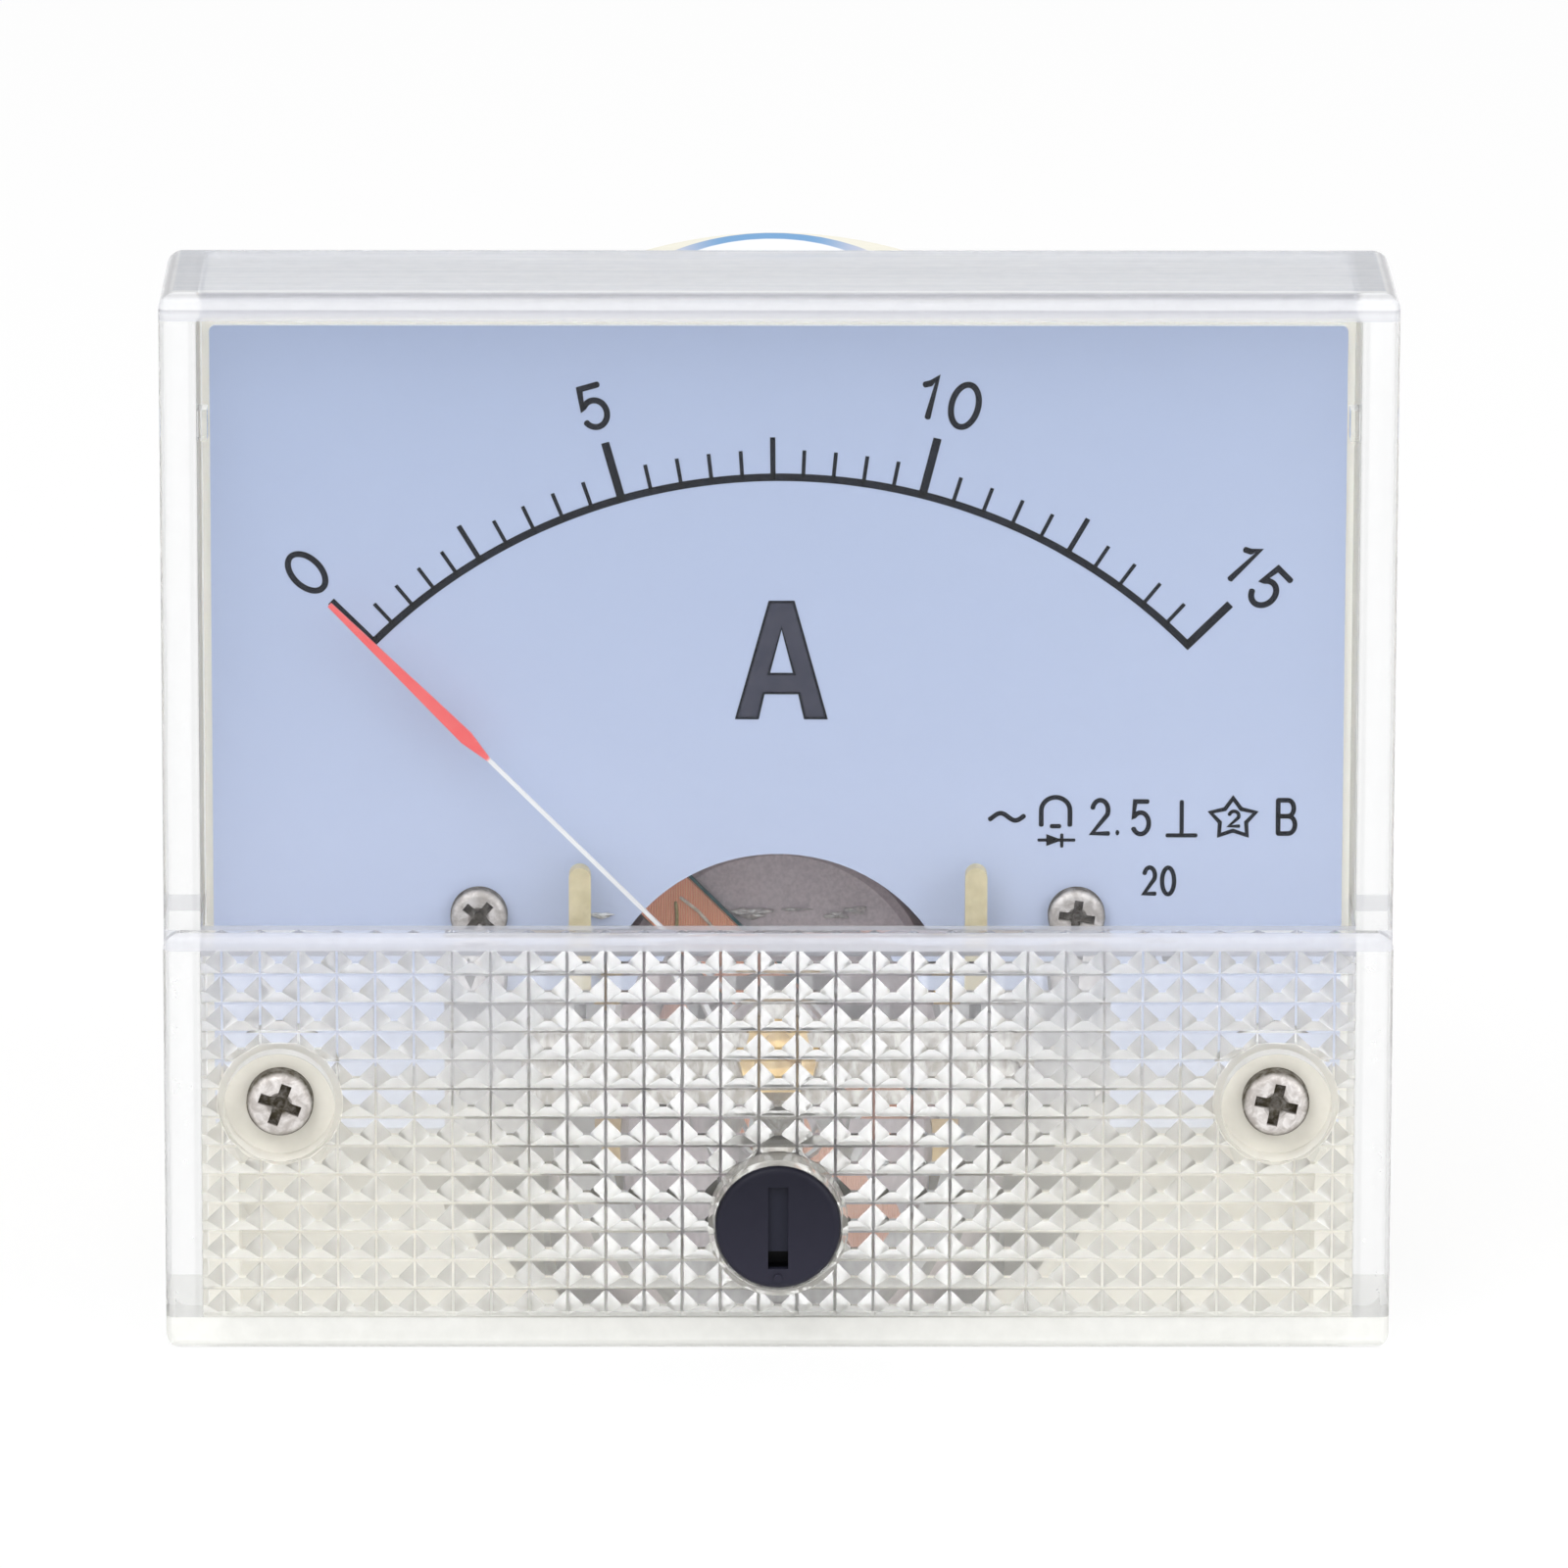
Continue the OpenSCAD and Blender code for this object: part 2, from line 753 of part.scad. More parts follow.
module yoke_ring() {
    color([0.4, 0.39, 0.39])
    difference() {
        rod(0, pivot_z, frame_back, core_back, yoke_out);
        rod(0, pivot_z, frame_back - past, core_back + past, yoke_in);
        for (s = [-1, 1])
            rod(s * rear_post_x, pivot_z, core_back - 3, core_back + past,
                bridge_screw_r + thread_gap);
    }
}

module core_magnet() {
    bevel = 0.4;
    color([0.46, 0.44, 0.45])
    turned(0, pivot_z)
        polygon([[0, core_y], [core_r - bevel, core_y], [core_r, core_y + bevel],
                 [core_r, core_back - bevel], [core_r - bevel, core_back], [0, core_back]]);
}

// Strap behind the core with two keys that hold the core inside the ring.
module core_spider() {
    color([0.75, 0.72, 0.62])
    difference() {
        union() {
            between(core_back, spider_y)
                intersection() {
                    translate([0, pivot_z])
                        circle(r = yoke_out);
                    translate([0, pivot_z])
                        square([2 * yoke_out, 5.2], center = true);
                }
            between(core_y, core_back + 0.1)
                intersection() {
                    difference() {
                        translate([0, pivot_z])
                            circle(r = yoke_in - glue_gap);
                        translate([0, pivot_z])
                            circle(r = core_r + glue_gap);
                    }
                    translate([0, pivot_z])
                        square([2 * yoke_out, key_h], center = true);
                }
        }
        for (s = [-1, 1])
            rod(s * rear_post_x, pivot_z, core_back - past, spider_y + past,
                bridge_screw_r + thread_gap);
    }
}

// Strap bridge with a round middle, shared by the front and the rear.
module bridge(y0, y1, post_x) {
    difference() {
        between(y0, y1) {
            round_rect([-post_x - 1.6, pivot_z - bridge_w / 2],
                       [post_x + 1.6, pivot_z + bridge_w / 2], 1.2);
            translate([0, pivot_z])
                circle(r = bridge_w * 0.8);
        }
        rod(0, pivot_z, y0 - past, y1 + past, jewel_r + thread_gap);
        for (s = [-1, 1])
            rod(s * post_x, pivot_z, y0 - past, y1 + past, bridge_screw_r + thread_gap);
    }
}

module front_bridge() {
    color([0.72, 0.7, 0.66])
    bridge(bridge_y, bridge_back, front_post_x);
}

module bridge_posts(y0, y1, post_x) {
    difference() {
        for (s = [-1, 1])
            rod(s * post_x, pivot_z, y0, y1, post_r);
        for (s = [-1, 1])
            rod(s * post_x, pivot_z, y0 - past, y1 + past, bridge_screw_r + thread_gap);
    }
}

module front_bridge_posts() {
    color([0.8, 0.66, 0.36])
    bridge_posts(bridge_back, rim_y, front_post_x);
}

module front_bridge_screws() {
    color([0.7, 0.69, 0.67])
    for (s = [-1, 1])
        flat_screw(s * front_post_x, pivot_z, bridge_y - 0.5, 1.2, 0.5, bridge_screw_r,
                   frame_back - 0.2, 1);
}

// Slotted screw that carries the front jewel; its flange keeps the zero lever on.
module front_jewel_screw() {
    flange_t = 0.3;
    flange_y = lever_back + 0.05;
    color([0.82, 0.68, 0.38])
    difference() {
        turned(0, pivot_z)
            polygon([[0, bridge_y - 0.5], [jewel_r, bridge_y - 0.5], [jewel_r, flange_y],
                     [jewel_flange_r, flange_y], [jewel_flange_r, flange_y + flange_t],
                     [0.8, flange_y + flange_t], [0, flange_y - 0.15]]);
        translate([0, bridge_y - 0.5, pivot_z])
            rotate([0, 25, 0])
                cube([jewel_r * 3, 0.6, 0.4], center = true);
    }
}

module front_lock_nut() {
    color([0.82, 0.68, 0.38])
    difference() {
        hex(0, pivot_z, bridge_y - 0.45, bridge_y, 2.2);
        rod(0, pivot_z, bridge_y - past, bridge_y + past, jewel_r + thread_gap);
    }
}

// The rear bridge also carries the pin that holds the rear hairspring.
module rear_bridge() {
    color([0.72, 0.7, 0.66]) {
        bridge(rear_bridge_y, rear_bridge_back, rear_post_x);
        rod(-rear_spring_r - 0.42, pivot_z, rear_spring_y, rear_bridge_back, 0.4);
    }
}

module rear_bridge_posts() {
    color([0.8, 0.66, 0.36])
    bridge_posts(spider_y, rear_bridge_y, rear_post_x);
}

module rear_bridge_screws() {
    color([0.7, 0.69, 0.67])
    for (s = [-1, 1])
        flat_screw(s * rear_post_x, pivot_z, rear_bridge_back + 0.5, 1.2, 0.5, bridge_screw_r,
                   core_back - 2.6, -1);
}

module rear_jewel_screw() {
    inner = rear_bridge_y - 0.5;
    outer = rear_bridge_back + 2;
    color([0.82, 0.68, 0.38])
    difference() {
        turned(0, pivot_z)
            polygon([[0, inner + 0.45], [0.8, inner], [jewel_r, inner], [jewel_r, outer],
                     [0, outer]]);
        translate([0, outer, pivot_z])
            rotate([0, 70, 0])
                cube([jewel_r * 3, 1, 0.4], center = true);
    }
}

module rear_lock_nut() {
    color([0.82, 0.68, 0.38])
    difference() {
        hex(0, pivot_z, rear_bridge_back, rear_bridge_back + 1, 2.2);
        rod(0, pivot_z, rear_bridge_back - past, rear_bridge_back + 1 + past,
            jewel_r + thread_gap);
    }
}

// ---- moving coil --------------------------------------------------------

// Turns what is drawn pointing up at the pointer axis to the zero of the scale.
module at_zero() {
    translate([0, 0, pivot_z])
        rotate([0, rest_angle, 0])
            children();
}

// Closed loop round the core: grow is its distance outside the former's inside.
module coil_loop(grow, thick, width) {
    across(-width / 2, width / 2)
        difference() {
            round_rect([coil_front_in - grow - thick, -coil_in - grow - thick],
                       [coil_back_in + grow + thick, coil_in + grow + thick], 0.3 + grow + thick);
            round_rect([coil_front_in - grow, -coil_in - grow],
                       [coil_back_in + grow, coil_in + grow], 0.3 + grow);
        }
}

module coil_former() {
    color([0.42, 0.62, 0.64])
    at_zero()
        coil_loop(0, former_t, coil_w);
}

module coil_winding() {
    color([0.72, 0.42, 0.29])
    at_zero()
        coil_loop(former_t, coil_t, coil_w - 0.3);
}

module front_staff() {
    tip = lever_back + 0.05 - 0.1;
    color([0.8, 0.8, 0.82])
    turned(0, pivot_z)
        polygon([[0, tip], [staff_r, tip + 0.5], [staff_r, coil_front - staff_flange_t],
                 [staff_flange_r, coil_front - staff_flange_t], [staff_flange_r, coil_front],
                 [0, coil_front]]);
}

module rear_staff() {
    tip = rear_bridge_y - 0.5 + 0.4;
    color([0.8, 0.8, 0.82])
    turned(0, pivot_z)
        polygon([[0, coil_back], [staff_flange_r, coil_back],
                 [staff_flange_r, coil_back + staff_flange_t],
                 [staff_r, coil_back + staff_flange_t], [staff_r, tip - 0.5], [0, tip]]);
}

// Needle with its boss, tail and cross arms, cut from one sheet.
module pointer() {
    color([0.96, 0.96, 0.97])
    at_zero()
        difference() {
            union() {
                between(pointer_y, pointer_back) {
                    translate([-arm_w / 2, 0])
                        square([arm_w, blade_start + 0.1]);
                    polygon([[-arm_w / 2, blade_start], [-blade_w / 2, blade_start + 1.6],
                             [-0.12, pointer_len], [0.12, pointer_len],
                             [blade_w / 2, blade_start + 1.6], [arm_w / 2, blade_start]]);
                    translate([-0.3, -tail_len])
                        square([0.6, tail_len]);
                    translate([-side_arm, -0.3])
                        square([2 * side_arm, 0.6]);
                    circle(r = hub_r);
                }
                rod(0, 0, pointer_y - boss_len, front_spring_y + spring_w + 0.2, collet_r - 0.05);
            }
            rod(0, 0, pointer_y - 1, front_spring_y + 1, staff_r + 0.01);
        }
}

// Three small wound weights that slide on the tail and the cross arms.
module balance_weights() {
    color([0.74, 0.72, 0.7])
    at_zero()
        difference() {
            union() {
                translate([0, (pointer_y + pointer_back) / 2, -tail_len + 0.3])
                    cylinder(r = weight_r, h = 1.6);
                for (s = [-1, 1])
                    translate([s * (side_arm - 0.7), (pointer_y + pointer_back) / 2, 0])
                        rotate([0, 90, 0])
                            cylinder(r = weight_r * 0.8, h = 1, center = true);
            }
            between(pointer_y - 0.01, pointer_back + 0.01) {
                translate([-0.31, -tail_len - 1])
                    square([0.62, tail_len]);
                translate([-side_arm - 1, -0.31])
                    square([2 * side_arm + 2, 0.62]);
            }
        }
}

module front_hairspring() {
    color([0.85, 0.85, 0.87])
    translate([0, 0, pivot_z])
        hairspring(front_spring_y, spring_r, spring_turns);
}

module rear_hairspring() {
    color([0.85, 0.85, 0.87])
    translate([0, 0, pivot_z])
        rotate([0, 180, 0])
            hairspring(rear_spring_y, rear_spring_r, spring_turns);
}

// ---- zero adjuster ------------------------------------------------------

// Slotted head, neck through the cover and eccentric pin behind it, in one piece.
module zero_adjuster() {
    round_r = 0.35;
    neck_back = clip_y + clip_t + 0.3;
    color([0.16, 0.16, 0.19])
    difference() {
        union() {
            turned(0, adjust_z) {
                translate([0, adjust_head_y])
                    square([adjust_r - round_r, adjust_seat_y - 0.05 - adjust_head_y]);
                translate([0, adjust_head_y + round_r])
                    square([adjust_r, adjust_seat_y - 0.05 - adjust_head_y - round_r]);
                translate([adjust_r - round_r, adjust_head_y + round_r])
                    circle(r = round_r);
                square_from(0, neck_r, adjust_seat_y - 0.1, clip_y);
                square_from(0, neck_r - clip_groove, clip_y - 0.1, neck_back);
                square_from(0, neck_r, clip_y + clip_t, neck_back);
            }
            rod(0, adjust_z + adjust_throw, neck_back - 0.1, lever_back + 0.5, pin_r);
            rod(0, adjust_z - adjust_r + 0.6, adjust_head_y - 0.12, adjust_head_y + 0.1, 0.22);
        }
        translate([0, 0, adjust_z]) {
            between(adjust_head_y - past, adjust_head_y + slot_depth)
                square([slot_w, slot_len], center = true);
            between(adjust_head_y - past, adjust_head_y + 3 * slot_depth)
                translate([-slot_w / 2, -slot_len / 2])
                    square([slot_w, slot_pocket]);
        }
    }
}

// Rectangle of a revolved profile, from radius r0 to r1 and from y0 to y1.
module square_from(r0, r1, y0, y1) {
    translate([r0, y0])
        square([r1 - r0, y1 - y0]);
}

// Open clip that snaps into the neck's groove behind the cover.
module adjuster_clip() {
    color([0.7, 0.69, 0.66])
    between(clip_y, clip_y + clip_t)
        difference() {
            translate([0, adjust_z])
                circle(r = neck_r + 0.9);
            translate([0, adjust_z])
                circle(r = neck_r - clip_groove + 0.02);
            translate([-1, adjust_z - neck_r - 2])
                square([2, neck_r + 2]);
        }
}

// Lever that turns on the front jewel screw: a fork below for the adjuster's pin,
// and an arm bent back at the side that holds the outer end of the hairspring.
module zero_lever() {
    arm_x = spring_r + 0.75;
    color([0.76, 0.74, 0.7])
    difference() {
        union() {
            between(lever_y + 0.03, lever_back) {
                translate([0, pivot_z])
                    circle(r = lever_ring_r);
                translate([-1.3, pivot_z - pin_reach - 1.2])
                    square([2.6, pin_reach]);
                translate([0, pivot_z - 0.7])
                    square([arm_x, 1.4]);
            }
            translate([arm_x - 0.5, lever_y + 0.03, pivot_z - 0.7])
                cube([0.5, front_spring_y + spring_w - lever_y, 1.4]);
            translate([spring_r + 0.02, front_spring_y, pivot_z - 0.7])
                cube([arm_x - spring_r - 0.1, spring_w, 1.4]);
        }
        rod(0, pivot_z, lever_y - past, lever_back + past, jewel_r + run_gap);
        between(lever_y - past, lever_back + past)
            translate([-pin_r - run_gap, pivot_z - pin_reach - 2])
                square([2 * (pin_r + run_gap), 3.4]);
    }
}

// ---- terminals ----------------------------------------------------------

module terminal_stud(side) {
    color([0.8, 0.66, 0.36]) {
        hex(side * terminal_x, terminal_z, barrel_floor - strap_t - terminal_head_t,
            barrel_floor - strap_t, nut_r);
        turned(side * terminal_x, terminal_z)
            polygon([[0, barrel_floor - strap_t - 0.5], [terminal_r, barrel_floor - strap_t - 0.5],
                     [terminal_r, barrel_len], [thread_pitch_r, barrel_len],
                     [thread_pitch_r, nut_end],
                     [terminal_r, nut_end], [terminal_r, terminal_end - 0.6],
                     [terminal_r - 0.6, terminal_end], [0, terminal_end]]);
    }
}

module terminal_stud_left() { terminal_stud(-1); }
module terminal_stud_right() { terminal_stud(1); }

module terminal_washer(side) {
    color([0.8, 0.66, 0.36])
    difference() {
        rod(side * terminal_x, terminal_z, barrel_len, barrel_len + washer_t, washer_r);
        rod(side * terminal_x, terminal_z, barrel_len - past, barrel_len + washer_t + past,
            washer_hole_r);
    }
}

module terminal_washer_left() { terminal_washer(-1); }
module terminal_washer_right() { terminal_washer(1); }

// Split spring washer, shown flattened by its nut.
module spring_washer(side) {
    y0 = barrel_len + washer_t;
    color([0.6, 0.6, 0.6])
    difference() {
        rod(side * terminal_x, terminal_z, y0, y0 + spring_washer_t, terminal_r * 1.75);
        rod(side * terminal_x, terminal_z, y0 - past, y0 + spring_washer_t + past,
            washer_hole_r);
        translate([side * terminal_x, y0 + spring_washer_t / 2, terminal_z + terminal_r * 1.5])
            rotate([0, 0, 25])
                cube([0.35, 4, terminal_r * 1.5], center = true);
    }
}

module spring_washer_left() { spring_washer(-1); }
module spring_washer_right() { spring_washer(1); }

module terminal_nut(side) {
    y0 = barrel_len + washer_t + spring_washer_t;
    color([0.8, 0.66, 0.36])
    difference() {
        intersection() {
            hex(side * terminal_x, terminal_z, y0, y0 + nut_t, nut_r);
            turned(side * terminal_x, terminal_z)
                polygon([[0, y0], [nut_r * 0.93, y0], [nut_r, y0 + 0.4],
                         [nut_r, y0 + nut_t - 0.4], [nut_r * 0.93, y0 + nut_t], [0, y0 + nut_t]]);
        }
        rod(side * terminal_x, terminal_z, y0 - past, y0 + nut_t + past,
            thread_pitch_r + thread_gap);
    }
}

module terminal_nut_left() { terminal_nut(-1); }
module terminal_nut_right() { terminal_nut(1); }

// Copper strap from one terminal to the other, raised through the transformer.
module primary_strap() {
    end_x = terminal_x + 3;
    feet_y = barrel_floor - strap_t;
    color([0.72, 0.45, 0.32])
    difference() {
        translate([0, 0, terminal_z - strap_w / 2])
            linear_extrude(strap_w)
                union() {
                    translate([-strap_rise_x, strap_y])
                        square([2 * strap_rise_x, strap_t]);
                    for (s = [-1, 1]) {
                        translate([s > 0 ? strap_rise_x - strap_t : -strap_rise_x, strap_y])
                            square([strap_t, barrel_floor - strap_y]);
                        translate([s > 0 ? strap_rise_x - strap_t : -end_x, feet_y])
                            square([end_x - strap_rise_x + strap_t, strap_t]);
                    }
                }
        for (s = [-1, 1])
            rod(s * terminal_x, terminal_z, feet_y - past, barrel_floor + past,
                terminal_r + thread_gap);
    }
}

module primary_sleeve() {
    color([0.2, 0.2, 0.22])
    difference() {
        translate([-sleeve_half, strap_y - sleeve_wall, terminal_z - strap_w / 2 - sleeve_wall])
            cube([2 * sleeve_half, strap_t + 2 * sleeve_wall, strap_w + 2 * sleeve_wall]);
        translate([-sleeve_half - past, strap_y - 0.01, terminal_z - strap_w / 2 - 0.01])
            cube([2 * (sleeve_half + past), strap_t + 0.02, strap_w + 0.02]);
    }
}

// Ring standing round the strap, from x0 to x1.
module strap_ring(x0, x1, r_in, r_out) {
    translate([0, strap_y + strap_t / 2, terminal_z])
        across(x0, x1)
            difference() {
                circle(r = r_out);
                circle(r = r_in);
            }
}

module transformer_core() {
    color([0.4, 0.42, 0.45])
    strap_ring(-core_half, core_half, core_ring_in, core_ring_out);
}

module transformer_winding() {
    color([0.75, 0.5, 0.25])
    difference() {
        strap_ring(-core_half - winding_t, core_half + winding_t,
                   core_ring_in - winding_t, core_ring_out + winding_t);
        strap_ring(-core_half - 0.02, core_half + 0.02,
                   core_ring_in - 0.02, core_ring_out + 0.02);
    }
}

// ---- rectifier ----------------------------------------------------------

module rectifier_board() {
    color([0.72, 0.62, 0.36])
    difference() {
        between(board_y, board_back)
            intersection() {
                circle(r = board_r);
                translate([-board_r, board_bottom])
                    square([2 * board_r, board_top - board_bottom]);
            }
        for (s = [-1, 1])
            rod(s * column_x, column_z, board_y - past, board_back + past, frame_screw_r + 0.1);
        diode_rows()
            rod(0, 0, board_y - past, board_back + past, lead_r + thread_gap);
        for (s = [-1, 1])
            rod(s * 5, board_top - 2.6, board_y - past, board_back + past, lead_r + thread_gap);
    }
}

// Puts its child at both lead holes of each diode.
module diode_rows() {
    for (i = [0 : 3], s = [-1, 1])
        translate([diode_x(i) + s * 4, 0, diode_line(i)])
            children();
}

function diode_x(i) = i % 2 == 0 ? -5.2 : 5.2;
function diode_line(i) = diode_z + (i < 2 ? 0 : diode_pitch);

module board_screws() {
    color([0.7, 0.69, 0.67])
    for (s = [-1, 1])
        flat_screw(s * column_x, column_z, board_y - 0.8, frame_head_r, 0.8, frame_screw_r,
                   board_back + frame_screw_depth, 1);
}

// Part lying in front of the board on two bent leads.
module leaded(x, z, r, len, reach) {
    y = board_y - r - 0.2;
    translate([x, y, z])
        rotate([0, 90, 0])
            cylinder(r = r, h = len, center = true);
    translate([x, y, z])
        rotate([0, 90, 0])
            cylinder(r = lead_r, h = 2 * reach, center = true);
    for (s = [-1, 1]) {
        translate([x + s * reach, y, z])
            sphere(r = lead_r);
        rod(x + s * reach, z, y, board_back + 0.6, lead_r);
    }
}

module rectifier_diodes() {
    color([0.18, 0.18, 0.2])
    for (i = [0 : 3])
        leaded(diode_x(i), diode_line(i), diode_r, diode_len, diode_reach);
}

module calibration_resistor() {
    color([0.55, 0.42, 0.3])
    leaded(0, board_top - resistor_drop, resistor_r, resistor_len, resistor_reach);
}

front_cover();
base_housing();
cover_screw_left();
cover_screw_right();
mounting_stud_left();
mounting_stud_right();
rating_label();
dial_plate();
dial_screw_left();
dial_screw_right();
pointer_stop_left();
pointer_stop_right();
stop_sleeve_left();
stop_sleeve_right();
movement_frame();
frame_screws();
yoke_ring();
core_magnet();
core_spider();
front_bridge();
front_bridge_posts();
front_bridge_screws();
front_jewel_screw();
front_lock_nut();
rear_bridge();
rear_bridge_posts();
rear_bridge_screws();
rear_jewel_screw();
rear_lock_nut();
coil_former();
coil_winding();
front_staff();
rear_staff();
pointer();
balance_weights();
front_hairspring();
rear_hairspring();
zero_adjuster();
adjuster_clip();
zero_lever();
terminal_stud_left();
terminal_stud_right();
terminal_washer_left();
terminal_washer_right();
spring_washer_left();
spring_washer_right();
terminal_nut_left();
terminal_nut_right();
primary_strap();
primary_sleeve();
transformer_core();
transformer_winding();
rectifier_board();
board_screws();
rectifier_diodes();
calibration_resistor();
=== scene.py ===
# Looks for a moving-coil panel meter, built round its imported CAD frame.
import json
import math

import bpy
import numpy as np
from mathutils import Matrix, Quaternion, Vector


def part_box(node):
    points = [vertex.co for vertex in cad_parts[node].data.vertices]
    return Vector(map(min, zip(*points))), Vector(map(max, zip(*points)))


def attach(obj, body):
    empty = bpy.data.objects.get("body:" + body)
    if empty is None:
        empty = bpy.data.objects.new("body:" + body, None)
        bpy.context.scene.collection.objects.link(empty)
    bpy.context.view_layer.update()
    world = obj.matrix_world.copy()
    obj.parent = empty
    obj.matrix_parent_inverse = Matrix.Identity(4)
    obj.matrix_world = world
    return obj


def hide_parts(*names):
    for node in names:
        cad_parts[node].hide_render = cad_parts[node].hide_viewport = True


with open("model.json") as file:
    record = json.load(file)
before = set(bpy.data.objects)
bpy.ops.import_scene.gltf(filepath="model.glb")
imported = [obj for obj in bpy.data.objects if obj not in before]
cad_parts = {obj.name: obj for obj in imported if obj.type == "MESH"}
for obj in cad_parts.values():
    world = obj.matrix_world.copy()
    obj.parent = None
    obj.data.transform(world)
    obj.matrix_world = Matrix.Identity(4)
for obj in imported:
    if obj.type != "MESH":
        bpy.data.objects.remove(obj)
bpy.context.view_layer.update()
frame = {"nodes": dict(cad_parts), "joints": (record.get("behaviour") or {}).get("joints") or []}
nodes = frame["nodes"]
mm = 0.001
print("frame loaded,", len(nodes), "nodes")

joints = {joint["name"]: joint for joint in frame["joints"]}
pivot = Vector(joints["pointer_swing"]["pos_m"])  # the pointer turns here, about Y
coverLow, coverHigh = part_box("front_cover")
panelEdge = pivot.z + 6.7 * mm  # top of the patterned panel
panelFront = coverLow.y + 1.7 * mm  # its flat face; the adjuster's collar stands in front of it
dialLow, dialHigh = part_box("dial_plate")


class Wire:
    # One output of a node, usable in sums.
    def __init__(self, finish, socket):
        self.finish = finish
        self.socket = socket

    def sum(self, operation, first, second):
        return self.finish.node("ShaderNodeMath", {"operation": operation}, {0: first, 1: second})

    def __add__(self, other):
        return self.sum("ADD", self, other)

    def __radd__(self, other):
        return self.sum("ADD", other, self)

    def __sub__(self, other):
        return self.sum("SUBTRACT", self, other)

    def __rsub__(self, other):
        return self.sum("SUBTRACT", other, self)

    def __mul__(self, other):
        return self.sum("MULTIPLY", self, other)

    def __rmul__(self, other):
        return self.sum("MULTIPLY", other, self)

    def __truediv__(self, other):
        return self.sum("DIVIDE", self, other)

    def __gt__(self, other):
        return self.sum("GREATER_THAN", self, other)

    def __lt__(self, other):
        return self.sum("LESS_THAN", self, other)

    def power(self, exponent):
        return self.sum("POWER", self, exponent)

    def high(self, other):
        return self.sum("MAXIMUM", self, other)

    def sine(self):
        return self.sum("SINE", self, 0.0)

    def size(self):
        return self.sum("ABSOLUTE", self, 0.0)


def shade(red, green, blue):
    # A colour given in 0 to 255 as it shows on screen, made linear.
    part = np.array([red, green, blue], float) / 255
    lin = np.where(part <= 0.04045, part / 12.92, ((part + 0.055) / 1.055) ** 2.4)
    return (*lin.tolist(), 1.0)


class Finish:
    # One material: a Principled shader and the nodes that feed it.
    def __init__(self, name, fixed=None):
        self.material = bpy.data.materials.new(name)
        self.material.use_nodes = True
        self.tree = self.material.node_tree
        self.tree.nodes.clear()
        self.end = self.tree.nodes.new("ShaderNodeOutputMaterial")
        self.shader = self.tree.nodes.new("ShaderNodeBsdfPrincipled")
        self.tree.links.new(self.shader.outputs[0], self.end.inputs[0])
        for key, value in (fixed or {}).items():
            self.shader.inputs[key].default_value = value

    def feed(self, socket, value):
        if isinstance(value, Wire):
            self.tree.links.new(value.socket, socket)
        else:
            socket.default_value = value

    def node(self, kind, settings=None, values=None, output=0):
        made = self.tree.nodes.new(kind)
        for key, value in (settings or {}).items():
            if key == "stops":
                ramp = made.color_ramp
                while len(ramp.elements) < len(value):
                    ramp.elements.new(0.5)
                for element, (place, colour) in zip(ramp.elements, value):
                    element.position = place
                    element.color = colour
            else:
                setattr(made, key, value)
        for key, value in (values or {}).items():
            self.feed(made.inputs[key], value)
        return Wire(self, made.outputs[output])

    def give(self, **inputs):
        # Feeds the shader: names in camelCase stand for its sockets.
        names = {"colour": "Base Color", "roughness": "Roughness", "metallic": "Metallic", "normal": "Normal"}
        for key, value in inputs.items():
            self.feed(self.shader.inputs[names[key]], value)

    def place(self):
        return self.node("ShaderNodeTexCoord", output=3)

    def scaled(self, scale):
        # Object coordinates drawn out: a small scale makes what is put on them long that way.
        return self.node("ShaderNodeMapping", None, {"Vector": self.place(), "Scale": scale})

    def axis(self, index):
        return self.node("ShaderNodeSeparateXYZ", None, {0: self.place()}, output=index)

    def noise(self, size, detail=3.0, rough=0.5, vector=None, warp=0.0):
        # Noise whose features are about size metres across.
        return self.node("ShaderNodeTexNoise", None,
                         {"Vector": vector or self.place(), "Scale": 1 / size, "Detail": detail,
                          "Roughness": rough, "Distortion": warp})

    def cells(self, size):
        return self.node("ShaderNodeTexVoronoi", {"feature": "F1"}, {"Vector": self.place(), "Scale": 1 / size})

    def between(self, value, low, high, style="SMOOTHSTEP"):
        # 0 below low, 1 above high, smooth between them.
        return self.node("ShaderNodeMapRange", {"interpolation_type": style, "clamp": True},
                         {"Value": value, "From Min": low, "From Max": high})

    def blend(self, factor, first, second, how="MIX"):
        return self.node("ShaderNodeMix", {"data_type": "RGBA", "blend_type": how},
                         {0: factor, 6: first, 7: second}, output=2)

    def bump(self, height, depth, strength=1.0):
        return self.node("ShaderNodeBump", None, {"Height": height, "Distance": depth, "Strength": strength})

    def mirrored(self):
        # Object coordinates with both sides folded onto the right one.
        return self.node("ShaderNodeCombineXYZ", None,
                         {0: self.axis(0).size(), 1: self.axis(1), 2: self.axis(2)})

    def far(self, centre, across=(1, 0, 1), place=None):
        # Distance from the line through a point; across has a 0 for the axis that the line follows.
        away = self.node("ShaderNodeVectorMath", {"operation": "SUBTRACT"},
                         {0: place or self.place(), 1: tuple(centre)})
        away = self.node("ShaderNodeVectorMath", {"operation": "MULTIPLY"}, {0: away, 1: across})
        return self.node("ShaderNodeVectorMath", {"operation": "LENGTH"}, {0: away}, output=1)


def paint(finish, *names):
    for name in names:
        for place in nodes[name].material_slots:
            place.material = finish.material


